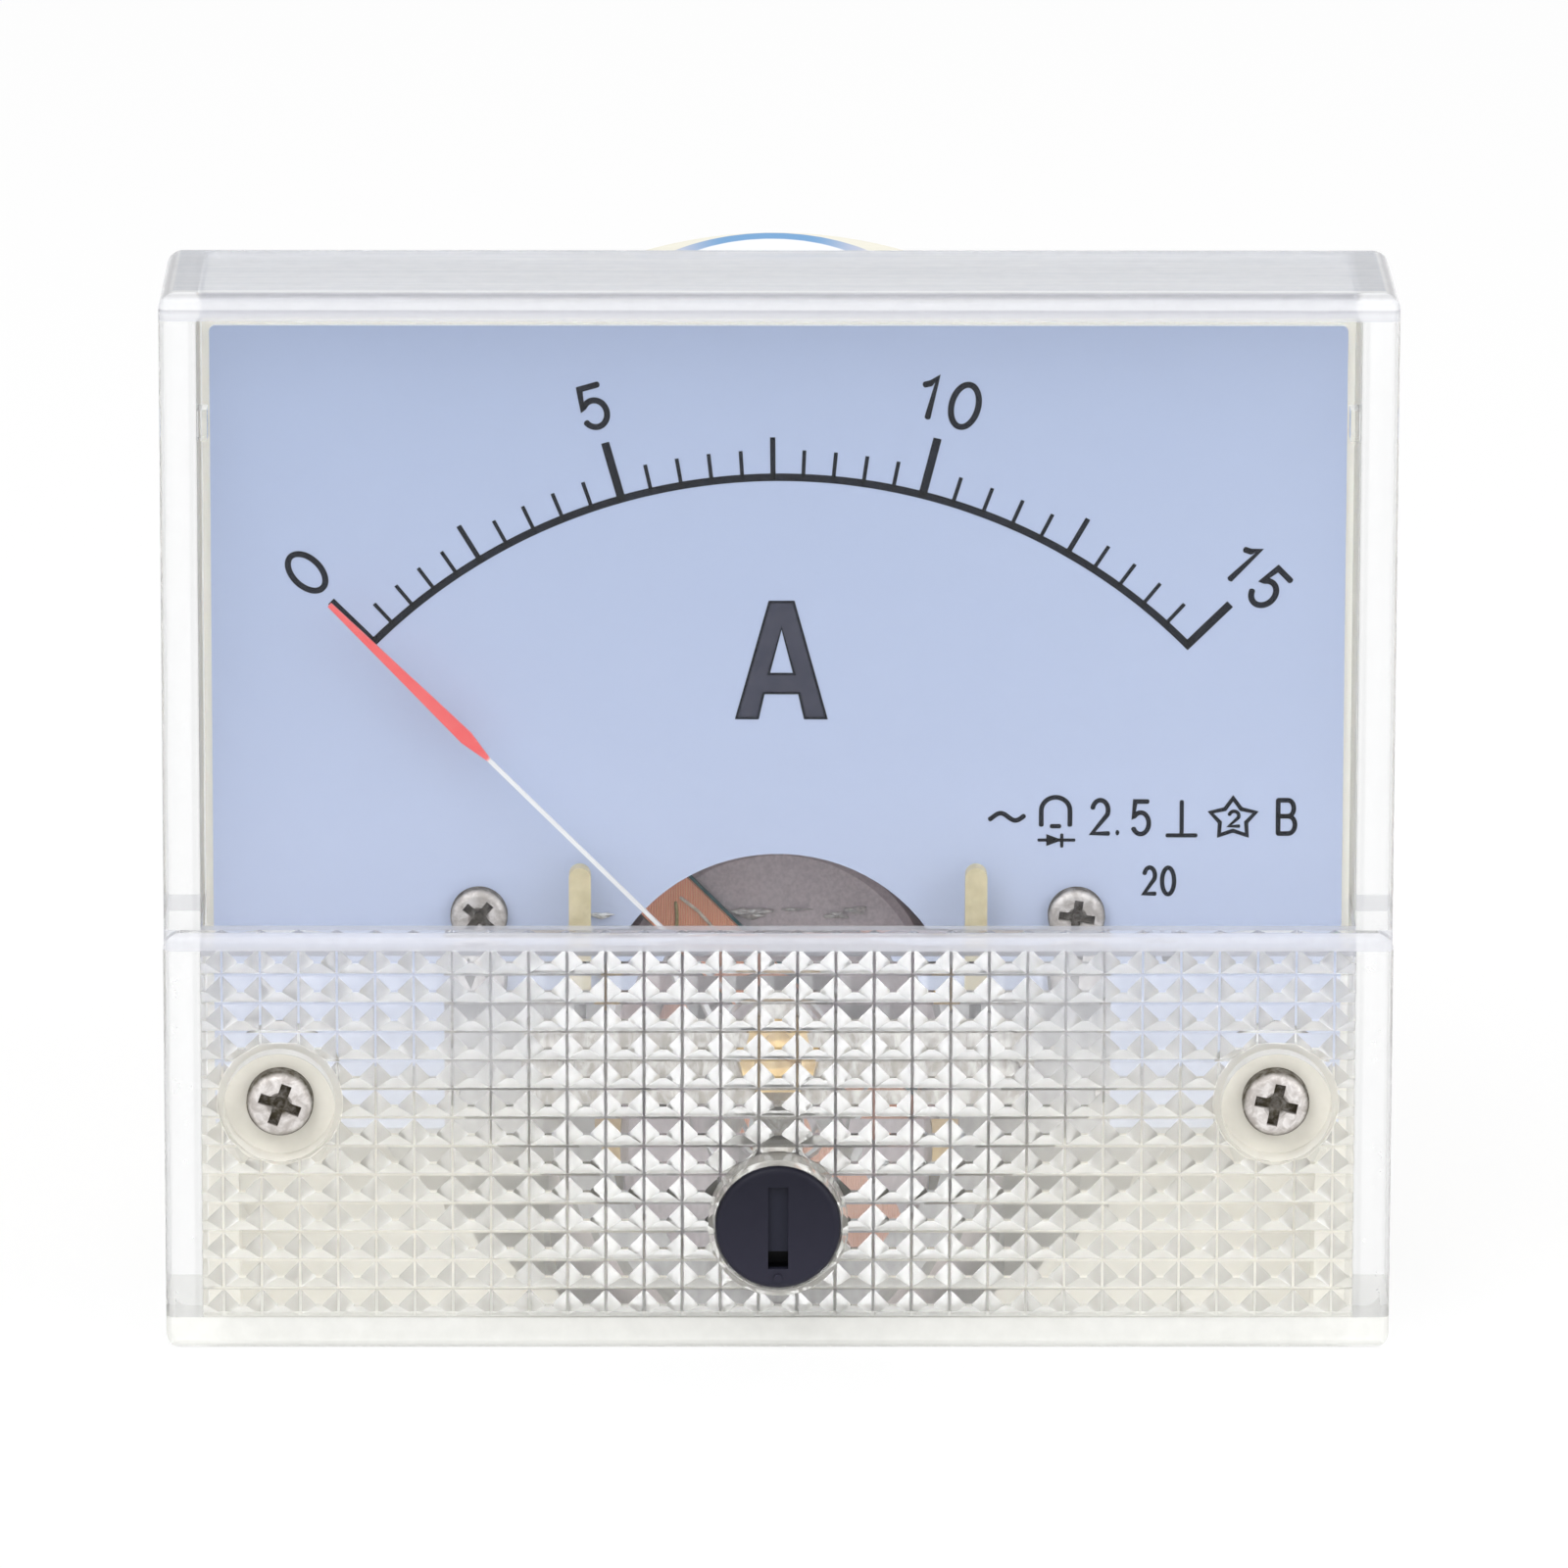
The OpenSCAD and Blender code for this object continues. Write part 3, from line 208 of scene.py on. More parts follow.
def pieceOf(name, points, faces, smooth):
    mesh = bpy.data.meshes.new(name)
    mesh.from_pydata(points.tolist(), [], faces)
    mesh.polygons.foreach_set("use_smooth", np.full(len(mesh.polygons), smooth))
    mesh.validate()
    piece = bpy.data.objects.new(name, mesh)
    bpy.context.scene.collection.objects.link(piece)
    return piece


def sheetOf(name, points, closeV=False):
    # Mesh of a grid of points, rows along u and columns along v; closing v joins its two ends.
    rows, columns = points.shape[:2]
    index = np.arange(rows * columns).reshape(rows, columns)
    if closeV:
        index = np.hstack([index, index[:, :1]])
    quads = np.stack([index[:-1, :-1], index[:-1, 1:], index[1:, 1:], index[1:, :-1]], -1)
    return pieceOf(name, points.reshape(-1, 3), quads.reshape(-1, 4).tolist(), True)


def joined(name, pieces):
    # One mesh from several, each given as (points, quads).
    start = np.cumsum([0] + [len(points) for points, _ in pieces])
    points = np.vstack([points for points, _ in pieces])
    quads = np.vstack([quads + first for (_, quads), first in zip(pieces, start)])
    return pieceOf(name, points, quads.tolist(), False)


def dress(piece, finish, body, slotName, *replaced):
    piece.data.materials.append(finish.material)
    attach(piece, body)
    if replaced:
        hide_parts(*replaced)


clearCover = {
    "tint": (0.985, 0.99, 0.992, 1.0), "mirror": (0.35, 0.35, 0.36, 1.0), "roughness": 0.02, "index": 1.49,
    "ripple": 6e-6,
    "window": 0.004,  # haze: how milky each place is
    "cells": 0.05, "veilMiddle": 0.03, "veilSide": 0.19, "band": 0.55, "sides": 0.25, "top": 0.45, "foot": 0.62,
    "recess": 0.62, "collar": 0.16, "shadowPass": 0.7, "inCells": 0.12, "inSeam": 0.5, "streak": 0.1,
    "wall": 1.95, "roof": 1.45, "floor": 1.7,  # millimetres: how deep each wall's milkiness reaches
    "outward": (7.0, 19.0), "rowPitch": 1.538, "recessRadius": 3.3, "collarRadius": 3.75,
    # Milk tones; the warm glow, the seam's, the roof's, the foot's, the band's and the recess's are painted
    # light and shade.
    "milkCool": (226, 227, 234), "milkWarmGlow": (255, 252, 241), "seamShade": (112, 110, 114),
    "roofShadeTones": [(182, 186, 195), (206, 209, 217), (236, 237, 240)],
    "footPaintedLight": (246, 246, 242), "bandPaintedLight": (214, 215, 223), "recessPaintedLight": (255, 252, 243),
}
# Tones of the milkiness across a wall, millimetres in from its outer face: painted highlight and shade lines.
topLightLines = [(0.0, (232, 233, 236)), (0.1, (182, 182, 187)), (0.2, (186, 186, 191)), (0.36, (232, 233, 238)),
            (0.8, (236, 237, 241)), (0.9, (180, 180, 189)), (1.1, (214, 215, 223)), (1.4, (204, 206, 214))]
sideLightLines = [(0.0, (232, 232, 233)), (0.35, (228, 228, 229)), (0.5, (250, 250, 251)), (1.5, (249, 249, 250)),
             (1.6, (212, 212, 213)), (1.75, (214, 214, 215)), (1.82, (238, 238, 238)), (1.95, (170, 170, 168))]


def lines(finish, distance, stops):
    # A colour ramp over millimetres.
    span = stops[-1][0]
    return finish.node("ShaderNodeValToRGB", {"stops": [(at / span, shade(*tone)) for at, tone in stops]},
                       {0: distance / (span * mm)})


def makeClear():
    # Clear moulded plastic: polished on the window, milky where the mould is textured or thick; the milk's
    # tones carry painted light and shade.
    look = clearCover
    finish = Finish("clearCover", {"Transmission Weight": 1.0, "IOR": look["index"],
                                   "Base Color": look["tint"], "Specular Tint": look["mirror"]})
    ripple = finish.noise(0.004, 2.0)
    cloud = finish.noise(0.0012, 4.0, 0.6)
    finish.give(roughness=look["roughness"] * (0.6 + 0.8 * cloud),
                normal=finish.bump(ripple, look["ripple"]))
    across, depth, height = finish.axis(0), finish.axis(1), finish.axis(2)
    behind = depth > panelFront + 0.1 * mm
    below = finish.between(height, panelEdge - 0.95 * mm, panelEdge - 0.85 * mm, "LINEAR")
    band = below * finish.between(height, panelEdge + 0.02 * mm, panelEdge - 0.02 * mm, "LINEAR")
    # A thin pale veil lies on the panel's flat face, thicker away from its middle: painted light standing in
    # for the lit cream base seen through the sides.
    outward = finish.between(across.size(), look["outward"][0] * mm, look["outward"][1] * mm)
    face = (1 - below) * (depth > panelFront - 0.05 * mm) * (depth < panelFront + 0.05 * mm)
    veil = face * (look["veilMiddle"] + (look["veilSide"] - look["veilMiddle"]) * outward)
    side = across.size() > coverHigh.x - look["wall"] * mm
    top = height > coverHigh.z - look["roof"] * mm
    foot = height < coverLow.z + look["floor"] * mm
    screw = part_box("cover_screw_right")
    fromScrew = finish.far(((screw[0].x + screw[1].x) / 2, 0, (screw[0].z + screw[1].z) / 2),
                           place=finish.mirrored())
    recess = (fromScrew < look["recessRadius"] * mm) * behind
    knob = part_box("zero_adjuster")
    fromKnob = finish.far(((knob[0].x + knob[1].x) / 2, 0, (knob[0].z + knob[1].z) / 2))
    collar = (fromKnob < look["collarRadius"] * mm) * (depth < panelFront - 0.1 * mm)
    # Painted light: lower down the milk turns warmer and the veil thicker, standing in for the lit cream base
    # behind.
    lowerGlow = finish.between(height, panelEdge - 1.5 * mm, coverLow.z + 9.0 * mm)
    veil = veil * (0.8 + 0.35 * lowerGlow)
    # Painted shade: fine dark lines on the seams between the cells stand in for the dark inside seen through
    # the ridge tips, strongest in the middle.
    rows = (height - (panelEdge - 0.9 * mm)) / (look["rowPitch"] * mm)
    column = (across * (math.pi / mm) + math.pi / 2).sine() < -0.955
    row = (rows * (2 * math.pi) + math.pi / 2).sine() > 0.975
    seamShade = column.high(0.7 * row) * (1 - below) * behind * (1 - 0.75 * outward)
    inCells = (look["cells"] + look["inCells"] * outward) * (1 - below) * behind
    haze = (look["window"] + veil + inCells).high(look["inSeam"] * seamShade).high(look["band"] * band)
    haze = haze.high(look["recess"] * recess).high(look["collar"] * collar)
    haze = haze.high(look["sides"] * side).high(look["top"] * top).high(look["foot"] * foot)
    # Fine drawn streaks run along the walls.
    along = finish.noise(0.0005, 3.0, 0.6, finish.scaled((0.03, 1, 1)))
    upward = finish.noise(0.0004, 3.0, 0.6, finish.scaled((1, 1, 0.03)))
    milkAndPaintedLight = finish.blend(lowerGlow, shade(*look["milkCool"]), shade(*look["milkWarmGlow"]))
    milkAndPaintedLight = finish.blend(seamShade, milkAndPaintedLight, shade(*look["seamShade"]))
    # Painted highlight and shade lines across the side and top walls.
    milkAndPaintedLight = finish.blend(side, milkAndPaintedLight, lines(finish, coverHigh.x - across.size(), sideLightLines))
    milkAndPaintedLight = finish.blend(top, milkAndPaintedLight, lines(finish, coverHigh.z - height, topLightLines))
    # Painted shade on the roof's top face, streaked, with a painted lighter strip at its front.
    over = finish.between(height, coverHigh.z - 0.03 * mm, coverHigh.z - 0.005 * mm, "LINEAR")
    edge = depth < panelFront + 1.9 * mm
    dim, bright, front = (shade(*tone) for tone in look["roofShadeTones"])
    roof = finish.blend(edge, finish.blend(along, dim, bright), front)
    milkAndPaintedLight = finish.blend(over, milkAndPaintedLight, roof)
    # Painted light: the foot and the screw recesses are painted near white against the shade they lie in, and
    # the step's band grey-white for light its rounded edge bends.
    milkAndPaintedLight = finish.blend(foot, milkAndPaintedLight, shade(*look["footPaintedLight"]))
    milkAndPaintedLight = finish.blend(band, milkAndPaintedLight, shade(*look["bandPaintedLight"]))
    milkAndPaintedLight = finish.blend(recess, milkAndPaintedLight, shade(*look["recessPaintedLight"]))
    streak = finish.blend(side, along, upward)
    milkAndPaintedLight = finish.blend(look["streak"] * (1 - face.high(recess)), milkAndPaintedLight, streak, "MULTIPLY")
    milky = finish.node("ShaderNodeBsdfPrincipled", None,
                        {"Base Color": milkAndPaintedLight, "Roughness": 0.45, "IOR": look["index"]})
    mix = finish.node("ShaderNodeMixShader", None,
                      {0: haze * (0.9 + 0.2 * cloud), 1: Wire(finish, finish.shader.outputs[0]), 2: milky})
    # Lamp light passes straight through, as it does through thin clear plastic.
    through = finish.node("ShaderNodeBsdfTransparent")
    shadow = finish.node("ShaderNodeLightPath", output=1)
    lit = finish.node("ShaderNodeMixShader", None, {0: look["shadowPass"] * shadow, 1: mix, 2: through})
    finish.tree.links.new(lit.socket, finish.end.inputs[0])
    return finish


# Painted light and shade: the inside tones are painted lighter, the barrel tones darker.
creamCase = {"colour": (244, 240, 228), "light": (250, 247, 238), "barrel": (224, 221, 206),
             "barrelLight": (231, 228, 215), "grain": 0.0002, "roughness": 0.42}


def makeCream():
    look = creamCase
    finish = Finish("creamCase", {"IOR": 1.5, "Subsurface Weight": 0.12,
                                  "Subsurface Radius": (0.004, 0.003, 0.002)})
    cloud = finish.noise(0.012, 4.0, 0.6)
    grain = finish.noise(look["grain"], 3.0)
    # The inside is painted lighter, as it lies in the cover's shade, and the outer barrel darker, as the lamps
    # light it most.
    inside = finish.blend(cloud, shade(*look["colour"]), shade(*look["light"]))
    barrel = finish.blend(cloud, shade(*look["barrel"]), shade(*look["barrelLight"]))
    colour = finish.blend(finish.between(finish.axis(1), 6.0 * mm, 14.0 * mm), inside, barrel)
    finish.give(colour=colour, roughness=look["roughness"] + 0.12 * grain,
                normal=finish.bump(grain, 5e-6, 0.6))
    return finish


zinc = {"colour": (206, 203, 199), "dull": (150, 144, 135), "roughness": 0.27, "metal": 1.0}
plateZinc = {"colour": (226, 222, 220), "dull": (182, 176, 172), "roughness": 0.4, "metal": 0.55}


def makeZinc(name, look, rust=None):
    # Zinc plate: crystalline patches, fine turning marks and, where told, brown in the recess.
    finish = Finish(name, {"Metallic": look["metal"]})
    patch = finish.noise(0.0006, 4.0, 0.62, warp=0.6)
    colour = finish.blend(finish.between(patch, 0.35, 0.7), shade(*look["dull"]), shade(*look["colour"]))
    roughness = look["roughness"] + 0.25 * (1 - patch)
    if rust:
        depth = finish.between(finish.axis(1), rust["front"] + 0.05 * mm, rust["front"] + 0.35 * mm)
        spread = 0.7 + 0.3 * finish.between(finish.noise(0.0005, 4.0, 0.7), 0.35, 0.62)
        colour = finish.blend(depth * spread, colour, shade(*rust["colour"]))
        roughness = roughness + 0.3 * depth * spread
        finish.give(metallic=look["metal"] * (1 - depth * spread))
    scratch = finish.noise(0.00012, 2.0)
    finish.give(colour=colour, roughness=roughness, normal=finish.bump(scratch + 0.6 * patch, 8e-6, 0.5))
    return finish


# The top, low and right tones are painted light and shade over the dial's pale blue.
blueDial = {"top": (175, 189, 218), "middle": (182, 194, 222), "low": (208, 217, 241),
            "edge": (232, 236, 242), "speck": (214, 221, 238),
            "right": (192, 204, 230), "grain": (150, 165, 205)}


def makeDial():
    # Painted sheet: pale blue, with painted shade towards the top and painted light towards the bottom and the
    # right, a faint cross-grain and a few specks under the paint.
    look = blueDial
    finish = Finish("blueDial", {"IOR": 1.45, "Specular IOR Level": 0.35})
    height = finish.between(finish.axis(2), dialLow.z, dialHigh.z, "LINEAR")
    right = finish.between(finish.axis(0), dialLow.x, dialHigh.x, "LINEAR")
    # Painted light and shade: darker upwards, lighter downwards and to the right.
    colour = finish.blend(height.power(2.0), shade(*look["middle"]), shade(*look["top"]))
    colour = finish.blend((1 - height).power(3.0), colour, shade(*look["low"]))
    colour = finish.blend(0.3 * right, colour, shade(*look["right"]))
    weave = finish.noise(0.0002, 2.0, 0.5, finish.scaled((0.25, 1, 1)))
    cloud = finish.noise(0.006, 3.0, 0.5)
    colour = finish.blend(0.10 * weave + 0.06 * cloud, colour, shade(*look["grain"]))
    speck = finish.cells(0.008) < 0.014
    colour = finish.blend(0.7 * speck, colour, shade(*look["speck"]))
    front = finish.between(finish.axis(1), dialLow.y + 0.02 * mm, dialLow.y + 0.08 * mm)
    colour = finish.blend(front, colour, shade(*look["edge"]))
    finish.give(colour=colour, roughness=0.5 + 0.1 * weave, normal=finish.bump(weave, 4e-6, 0.5))
    return finish


def makePlain(name, colour, other, roughness, size=0.0006, metallic=0.0, depth=6e-6, fixed=None,
              scale=None):
    # Two close tones in soft patches over a fine grain.
    finish = Finish(name, fixed)
    patch = finish.noise(size, 4.0, 0.6, finish.scaled(scale) if scale else None)
    grain = finish.noise(size / 5, 2.0)
    finish.give(colour=finish.blend(finish.between(patch, 0.3, 0.7), shade(*colour), shade(*other)),
                roughness=roughness + 0.2 * patch, metallic=metallic,
                normal=finish.bump(grain + patch, depth, 0.7))
    return finish


# Both tones are painted lighter against the shade the coil lies in; the groove tone is painted shade between
# the wires.
windings = {"bright": (255, 206, 166), "grooveShade": (252, 156, 132), "pitch": 0.13}


def makeCopper(name):
    # Enamelled wire laid side by side: fine ridges along one way, painted shade in the grooves, and painted
    # light lifting the whole coil out of its shade.
    look = windings
    finish = Finish(name, {"Metallic": 0.15, "Coat Weight": 0.2, "Coat Roughness": 0.2})
    across = finish.axis(0)
    ridge = (across * (2 * math.pi / (look["pitch"] * mm))).sine() * 0.5 + 0.5
    patch = finish.noise(0.0012, 3.0, 0.6)
    colour = finish.blend(0.65 * ridge + 0.35 * patch, shade(*look["grooveShade"]), shade(*look["bright"]))
    finish.give(colour=colour, roughness=0.32 + 0.25 * patch, normal=finish.bump(ridge, 3e-5, 0.8))
    return finish


pointerPaint = {"red": (238, 74, 78), "pinkStreak": (244, 118, 116), "white": (236, 236, 238), "change": 21.4}


def makePointer():
    # White arm, red blade beyond a radius from the pivot; pink noise streaks over the blade.
    look = pointerPaint
    finish = Finish("pointerPaint", {"IOR": 1.5})
    reach = finish.far(pivot)
    red = finish.between(reach, (look["change"] - 0.15) * mm, (look["change"] + 0.1) * mm)
    streak = finish.noise(0.0008, 3.0, 0.6)
    blade = finish.blend(streak, shade(*look["red"]), shade(*look["pinkStreak"]))
    finish.give(colour=finish.blend(red, shade(*look["white"]), blade), roughness=0.35 + 0.2 * streak,
                normal=finish.bump(streak, 1e-5, 0.5))
    return finish


labelPaper = {"paper": (236, 238, 242), "line": (102, 152, 198), "faded": (188, 192, 208),
              "centre": -0.4, "radius": 7.2, "width": 1.7}


def makeLabel():
    # A round paper seal with a pale blue rim, printed on a film in the case's barrel tones, their painted shade
    # included.
    look = labelPaper
    low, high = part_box("rating_label")
    finish = Finish("labelPaper", {"IOR": 1.4})
    middle = (look["centre"] * mm, high.y - (look["radius"] + 0.1) * mm, 0)
    reach = finish.far(middle, (1, 1, 0))
    inside = 1 - finish.between(reach, (look["radius"] - 0.08) * mm, (look["radius"] + 0.08) * mm)
    inner = look["radius"] - look["width"]
    rim = finish.between(reach, (inner - 0.15) * mm, (inner + 0.15) * mm)
    fibre = finish.noise(0.0003, 4.0, 0.7)
    paper = finish.blend(0.25 * fibre, shade(*look["paper"]), shade(222, 226, 230))
    fade = finish.between((finish.axis(0) - look["centre"] * mm).size(), 2.2 * mm, 5.6 * mm)
    line = finish.blend(fade, shade(*look["line"]), shade(*look["faded"]))
    film = finish.blend(fibre, shade(*creamCase["barrel"]), shade(*creamCase["barrelLight"]))
    finish.give(colour=finish.blend(inside, film, finish.blend(rim, paper, line)),
                roughness=0.5 + 0.2 * fibre, normal=finish.bump(fibre, 8e-6, 0.5))
    return finish


# The slot tone is painted light, the pocket tone painted shade.
knobPlastic = {"top": (22, 22, 34), "low": (38, 37, 50), "slot": (36, 37, 50), "pocketPaintedShade": (6, 6, 11),
               "patch": (44, 44, 56), "slotAt": 0.4, "pocketAt": 0.6}


def makeKnob():
    # Near-black plastic, a shade lighter downwards; painted light lifts the slot's floor, painted shade
    # blackens its pocket.
    look = knobPlastic
    low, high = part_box("zero_adjuster")
    finish = Finish("blackKnob", {"IOR": 1.45, "Specular IOR Level": 0.2})
    patch = finish.noise(0.0008, 4.0, 0.6)
    drop = finish.between(finish.axis(2), low.z + 6.0 * mm, low.z + 0.6 * mm, "LINEAR")
    depth = finish.axis(1)
    colour = finish.blend(drop, shade(*look["top"]), shade(*look["low"]))
    colour = finish.blend(0.3 * patch, colour, shade(*look["patch"]))
    colour = finish.blend(depth > low.y + look["slotAt"] * mm, colour, shade(*look["slot"]))
    colour = finish.blend(depth > low.y + look["pocketAt"] * mm, colour, shade(*look["pocketPaintedShade"]))
    finish.give(colour=colour, roughness=0.34 + 0.2 * patch, normal=finish.bump(patch, 8e-6, 0.7))
    return finish


clear = makeClear()
cream = makeCream()
screwZinc = makeZinc("screwZinc", zinc)
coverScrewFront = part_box("cover_screw_left")[0].y
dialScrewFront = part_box("dial_screw_left")[0].y
coverScrewZinc = makeZinc("coverScrewZinc", plateZinc, {"front": coverScrewFront, "colour": (62, 55, 38)})
dialScrewZinc = makeZinc("dialScrewZinc", plateZinc, {"front": dialScrewFront, "colour": (66, 60, 52)})
dial = makeDial()
castGrey = makePlain("castGrey", (190, 189, 190), (168, 167, 169), 0.5, 0.0004, 0.3, 1e-5)
# Painted light: soft iron and magnet are painted near white, far lighter than they are, against the shade deep
# in the movement.
softIronPaintedLight = makePlain("softIronPaintedLight", (240, 230, 236), (224, 215, 221), 0.5, 0.0003, 0.1, 1e-5)
magnetPaintedLight = makePlain("magnetFacePaintedLight", (226, 217, 222), (206, 198, 203), 0.5, 0.00022, 0.1, 1e-5)
brass = makePlain("turnedBrass", (212, 182, 122), (190, 156, 96), 0.25, 0.0005, 1.0, 4e-6)
brightSteel = makePlain("brightSteel", (205, 206, 208), (182, 183, 186), 0.2, 0.0006, 1.0, 3e-6)
darkWire = makePlain("darkWire", (70, 66, 62), (48, 44, 42), 0.4, 0.0004, 0.9, 6e-6)
creamSleeve = makePlain("creamSleeve", (216, 205, 172), (200, 189, 154), 0.4, 0.0008, 0.0, 5e-6,
                        {"Subsurface Weight": 0.25, "Subsurface Radius": (0.002, 0.0015, 0.001)})
blackKnob = makeKnob()
tealFormer = makePlain("tealFormer", (70, 118, 124), (92, 132, 134), 0.4, 0.0006, 0.5, 8e-6)
copperFront = makeCopper("coilWire")
copperRing = makeCopper("ringWire")
copperStrap = makePlain("copperStrap", (206, 134, 100), (184, 110, 80), 0.3, 0.001, 1.0, 5e-6)
board = makePlain("laminateBoard", (176, 142, 84), (158, 124, 70), 0.5, 0.0006, 0.0, 8e-6,
                  {"Coat Weight": 0.2}, (1, 1, 0.2))
sleeveBlack = makePlain("sleeveBlack", (32, 32, 35), (42, 42, 46), 0.45, 0.0008)
diodeBlack = makePlain("diodeBlack", (26, 26, 28), (36, 36, 38), 0.4, 0.0005)
resistorBrown = makePlain("resistorBrown", (150, 104, 66), (128, 86, 54), 0.35, 0.0008)
pointerFinish = makePointer()
label = makeLabel()

paint(clear, "front_cover")
paint(cream, "base_housing")
paint(coverScrewZinc, "cover_screw_left", "cover_screw_right")
paint(dialScrewZinc, "dial_screw_left", "dial_screw_right")
paint(screwZinc, "mounting_stud_left", "mounting_stud_right", "frame_screws", "front_bridge",
      "front_bridge_screws", "rear_bridge", "rear_bridge_screws", "balance_weights", "zero_lever",
      "board_screws")
paint(label, "rating_label")
paint(dial, "dial_plate")
paint(darkWire, "pointer_stop_left", "pointer_stop_right")
paint(creamSleeve, "stop_sleeve_left", "stop_sleeve_right")
paint(castGrey, "movement_frame")
paint(softIronPaintedLight, "yoke_ring", "transformer_core")
paint(magnetPaintedLight, "core_magnet")
paint(brass, "core_spider", "front_bridge_posts", "front_jewel_screw", "front_lock_nut",
      "rear_bridge_posts", "rear_jewel_screw", "rear_lock_nut", "terminal_stud_left",
      "terminal_stud_right", "terminal_washer_left", "terminal_washer_right", "terminal_nut_left",
      "terminal_nut_right")
paint(brightSteel, "front_staff", "rear_staff", "front_hairspring", "rear_hairspring",
      "adjuster_clip", "spring_washer_left", "spring_washer_right")
paint(tealFormer, "coil_former")
paint(copperFront, "coil_winding")
paint(copperRing, "transformer_winding")
paint(copperStrap, "primary_strap")
paint(sleeveBlack, "primary_sleeve")
paint(board, "rectifier_board")
paint(diodeBlack, "rectifier_diodes")
paint(resistorBrown, "calibration_resistor")
paint(pointerFinish, "pointer")
paint(blackKnob, "zero_adjuster")
print("finishes made")


scalePrint = {
    "centre": (0.06, -0.12), "radius": 29.86, "line": 0.4,  # millimetres from the pivot
    "fifths": [-45.15, -31.5, -16.0, -0.67, 14.41, 30.14, 45.47],  # every fifth step, degrees from upright
    "short": (1.45, 0.2), "middle": (2.12, 0.27), "long": (3.1, 0.43), "lift": 0.02,
}
# Numbers and marks: text, centre x and z from the pivot, height, width, line, turn clockwise.
marks = [
    ("0", -24.57, 24.67, 2.66, 1.78, 0.32, -45.1), ("5", -9.65, 33.46, 2.49, 1.63, 0.32, -15.9),
    ("1", 7.73, 34.02, 2.46, 0.92, 0.32, 14.4), ("0", 9.67, 33.53, 2.6, 1.7, 0.32, 14.4),
    ("1", 24.11, 25.28, 2.46, 0.92, 0.32, 45.5), ("5", 25.56, 23.85, 2.49, 1.53, 0.32, 45.5),
    ("~", 11.98, 11.6, 0.64, 2.05, 0.25, 0), ("coil", 14.53, 11.9, 1.75, 1.75, 0.25, 0),
    ("bar", 14.53, 11.1, 0.22, 0.68, 0.23, 0), ("diode", 14.58, 10.35, 0.88, 2.06, 0.17, 0),
    ("2", 16.87, 11.6, 2.04, 1.12, 0.25, 0), (".", 17.77, 10.75, 0.3, 0.32, 0.3, 0),
    ("5", 18.98, 11.55, 2.0, 1.14, 0.25, 0), ("right", 21.13, 11.52, 2.05, 1.75, 0.22, 0),
    ("star", 23.82, 11.5, 2.42, 2.7, 0.22, 0), ("2", 23.87, 11.5, 0.98, 0.72, 0.19, 0),
    ("B", 26.62, 11.6, 2.04, 1.14, 0.25, 0), ("2", 19.48, 8.17, 1.64, 0.82, 0.23, 0),
    # The two thin bars at about z 5.5 are painted shadow: dark lines along the shoulders of the dial's cut-out.
    ("0", 20.45, 8.15, 1.66, 0.86, 0.23, 0), ("bar", -7.5, 5.5, 0.1, 3.9, 0.1, 0),
    ("bar", 8.8, 5.47, 0.1, 2.2, 0.1, 0),
]
# The big unit letter: outer corners and the inside of its head, x and z from its own centre.
unitLetter = {
    "centre": (0.17, 20.0),
    "outer": [(-0.62, 3.1), (0.62, 3.1), (2.34, -3.1), (1.24, -3.1), (0.93, -1.76), (-0.93, -1.76),
              (-1.24, -3.1), (-2.34, -3.1)],
    "head": [(0.0, 1.72), (0.68, -0.75), (-0.68, -0.75)],
    "edge": 0.14, "edgeLift": 0.006,
}


def bow(centre, size, start, stop, count=24):
    # Points on an ellipse from one angle to another, in degrees, anticlockwise if stop is larger.
    turn = np.radians(np.linspace(start, stop, count))
    return np.column_stack([centre[0] + size[0] * np.cos(turn), centre[1] + size[1] * np.sin(turn)])


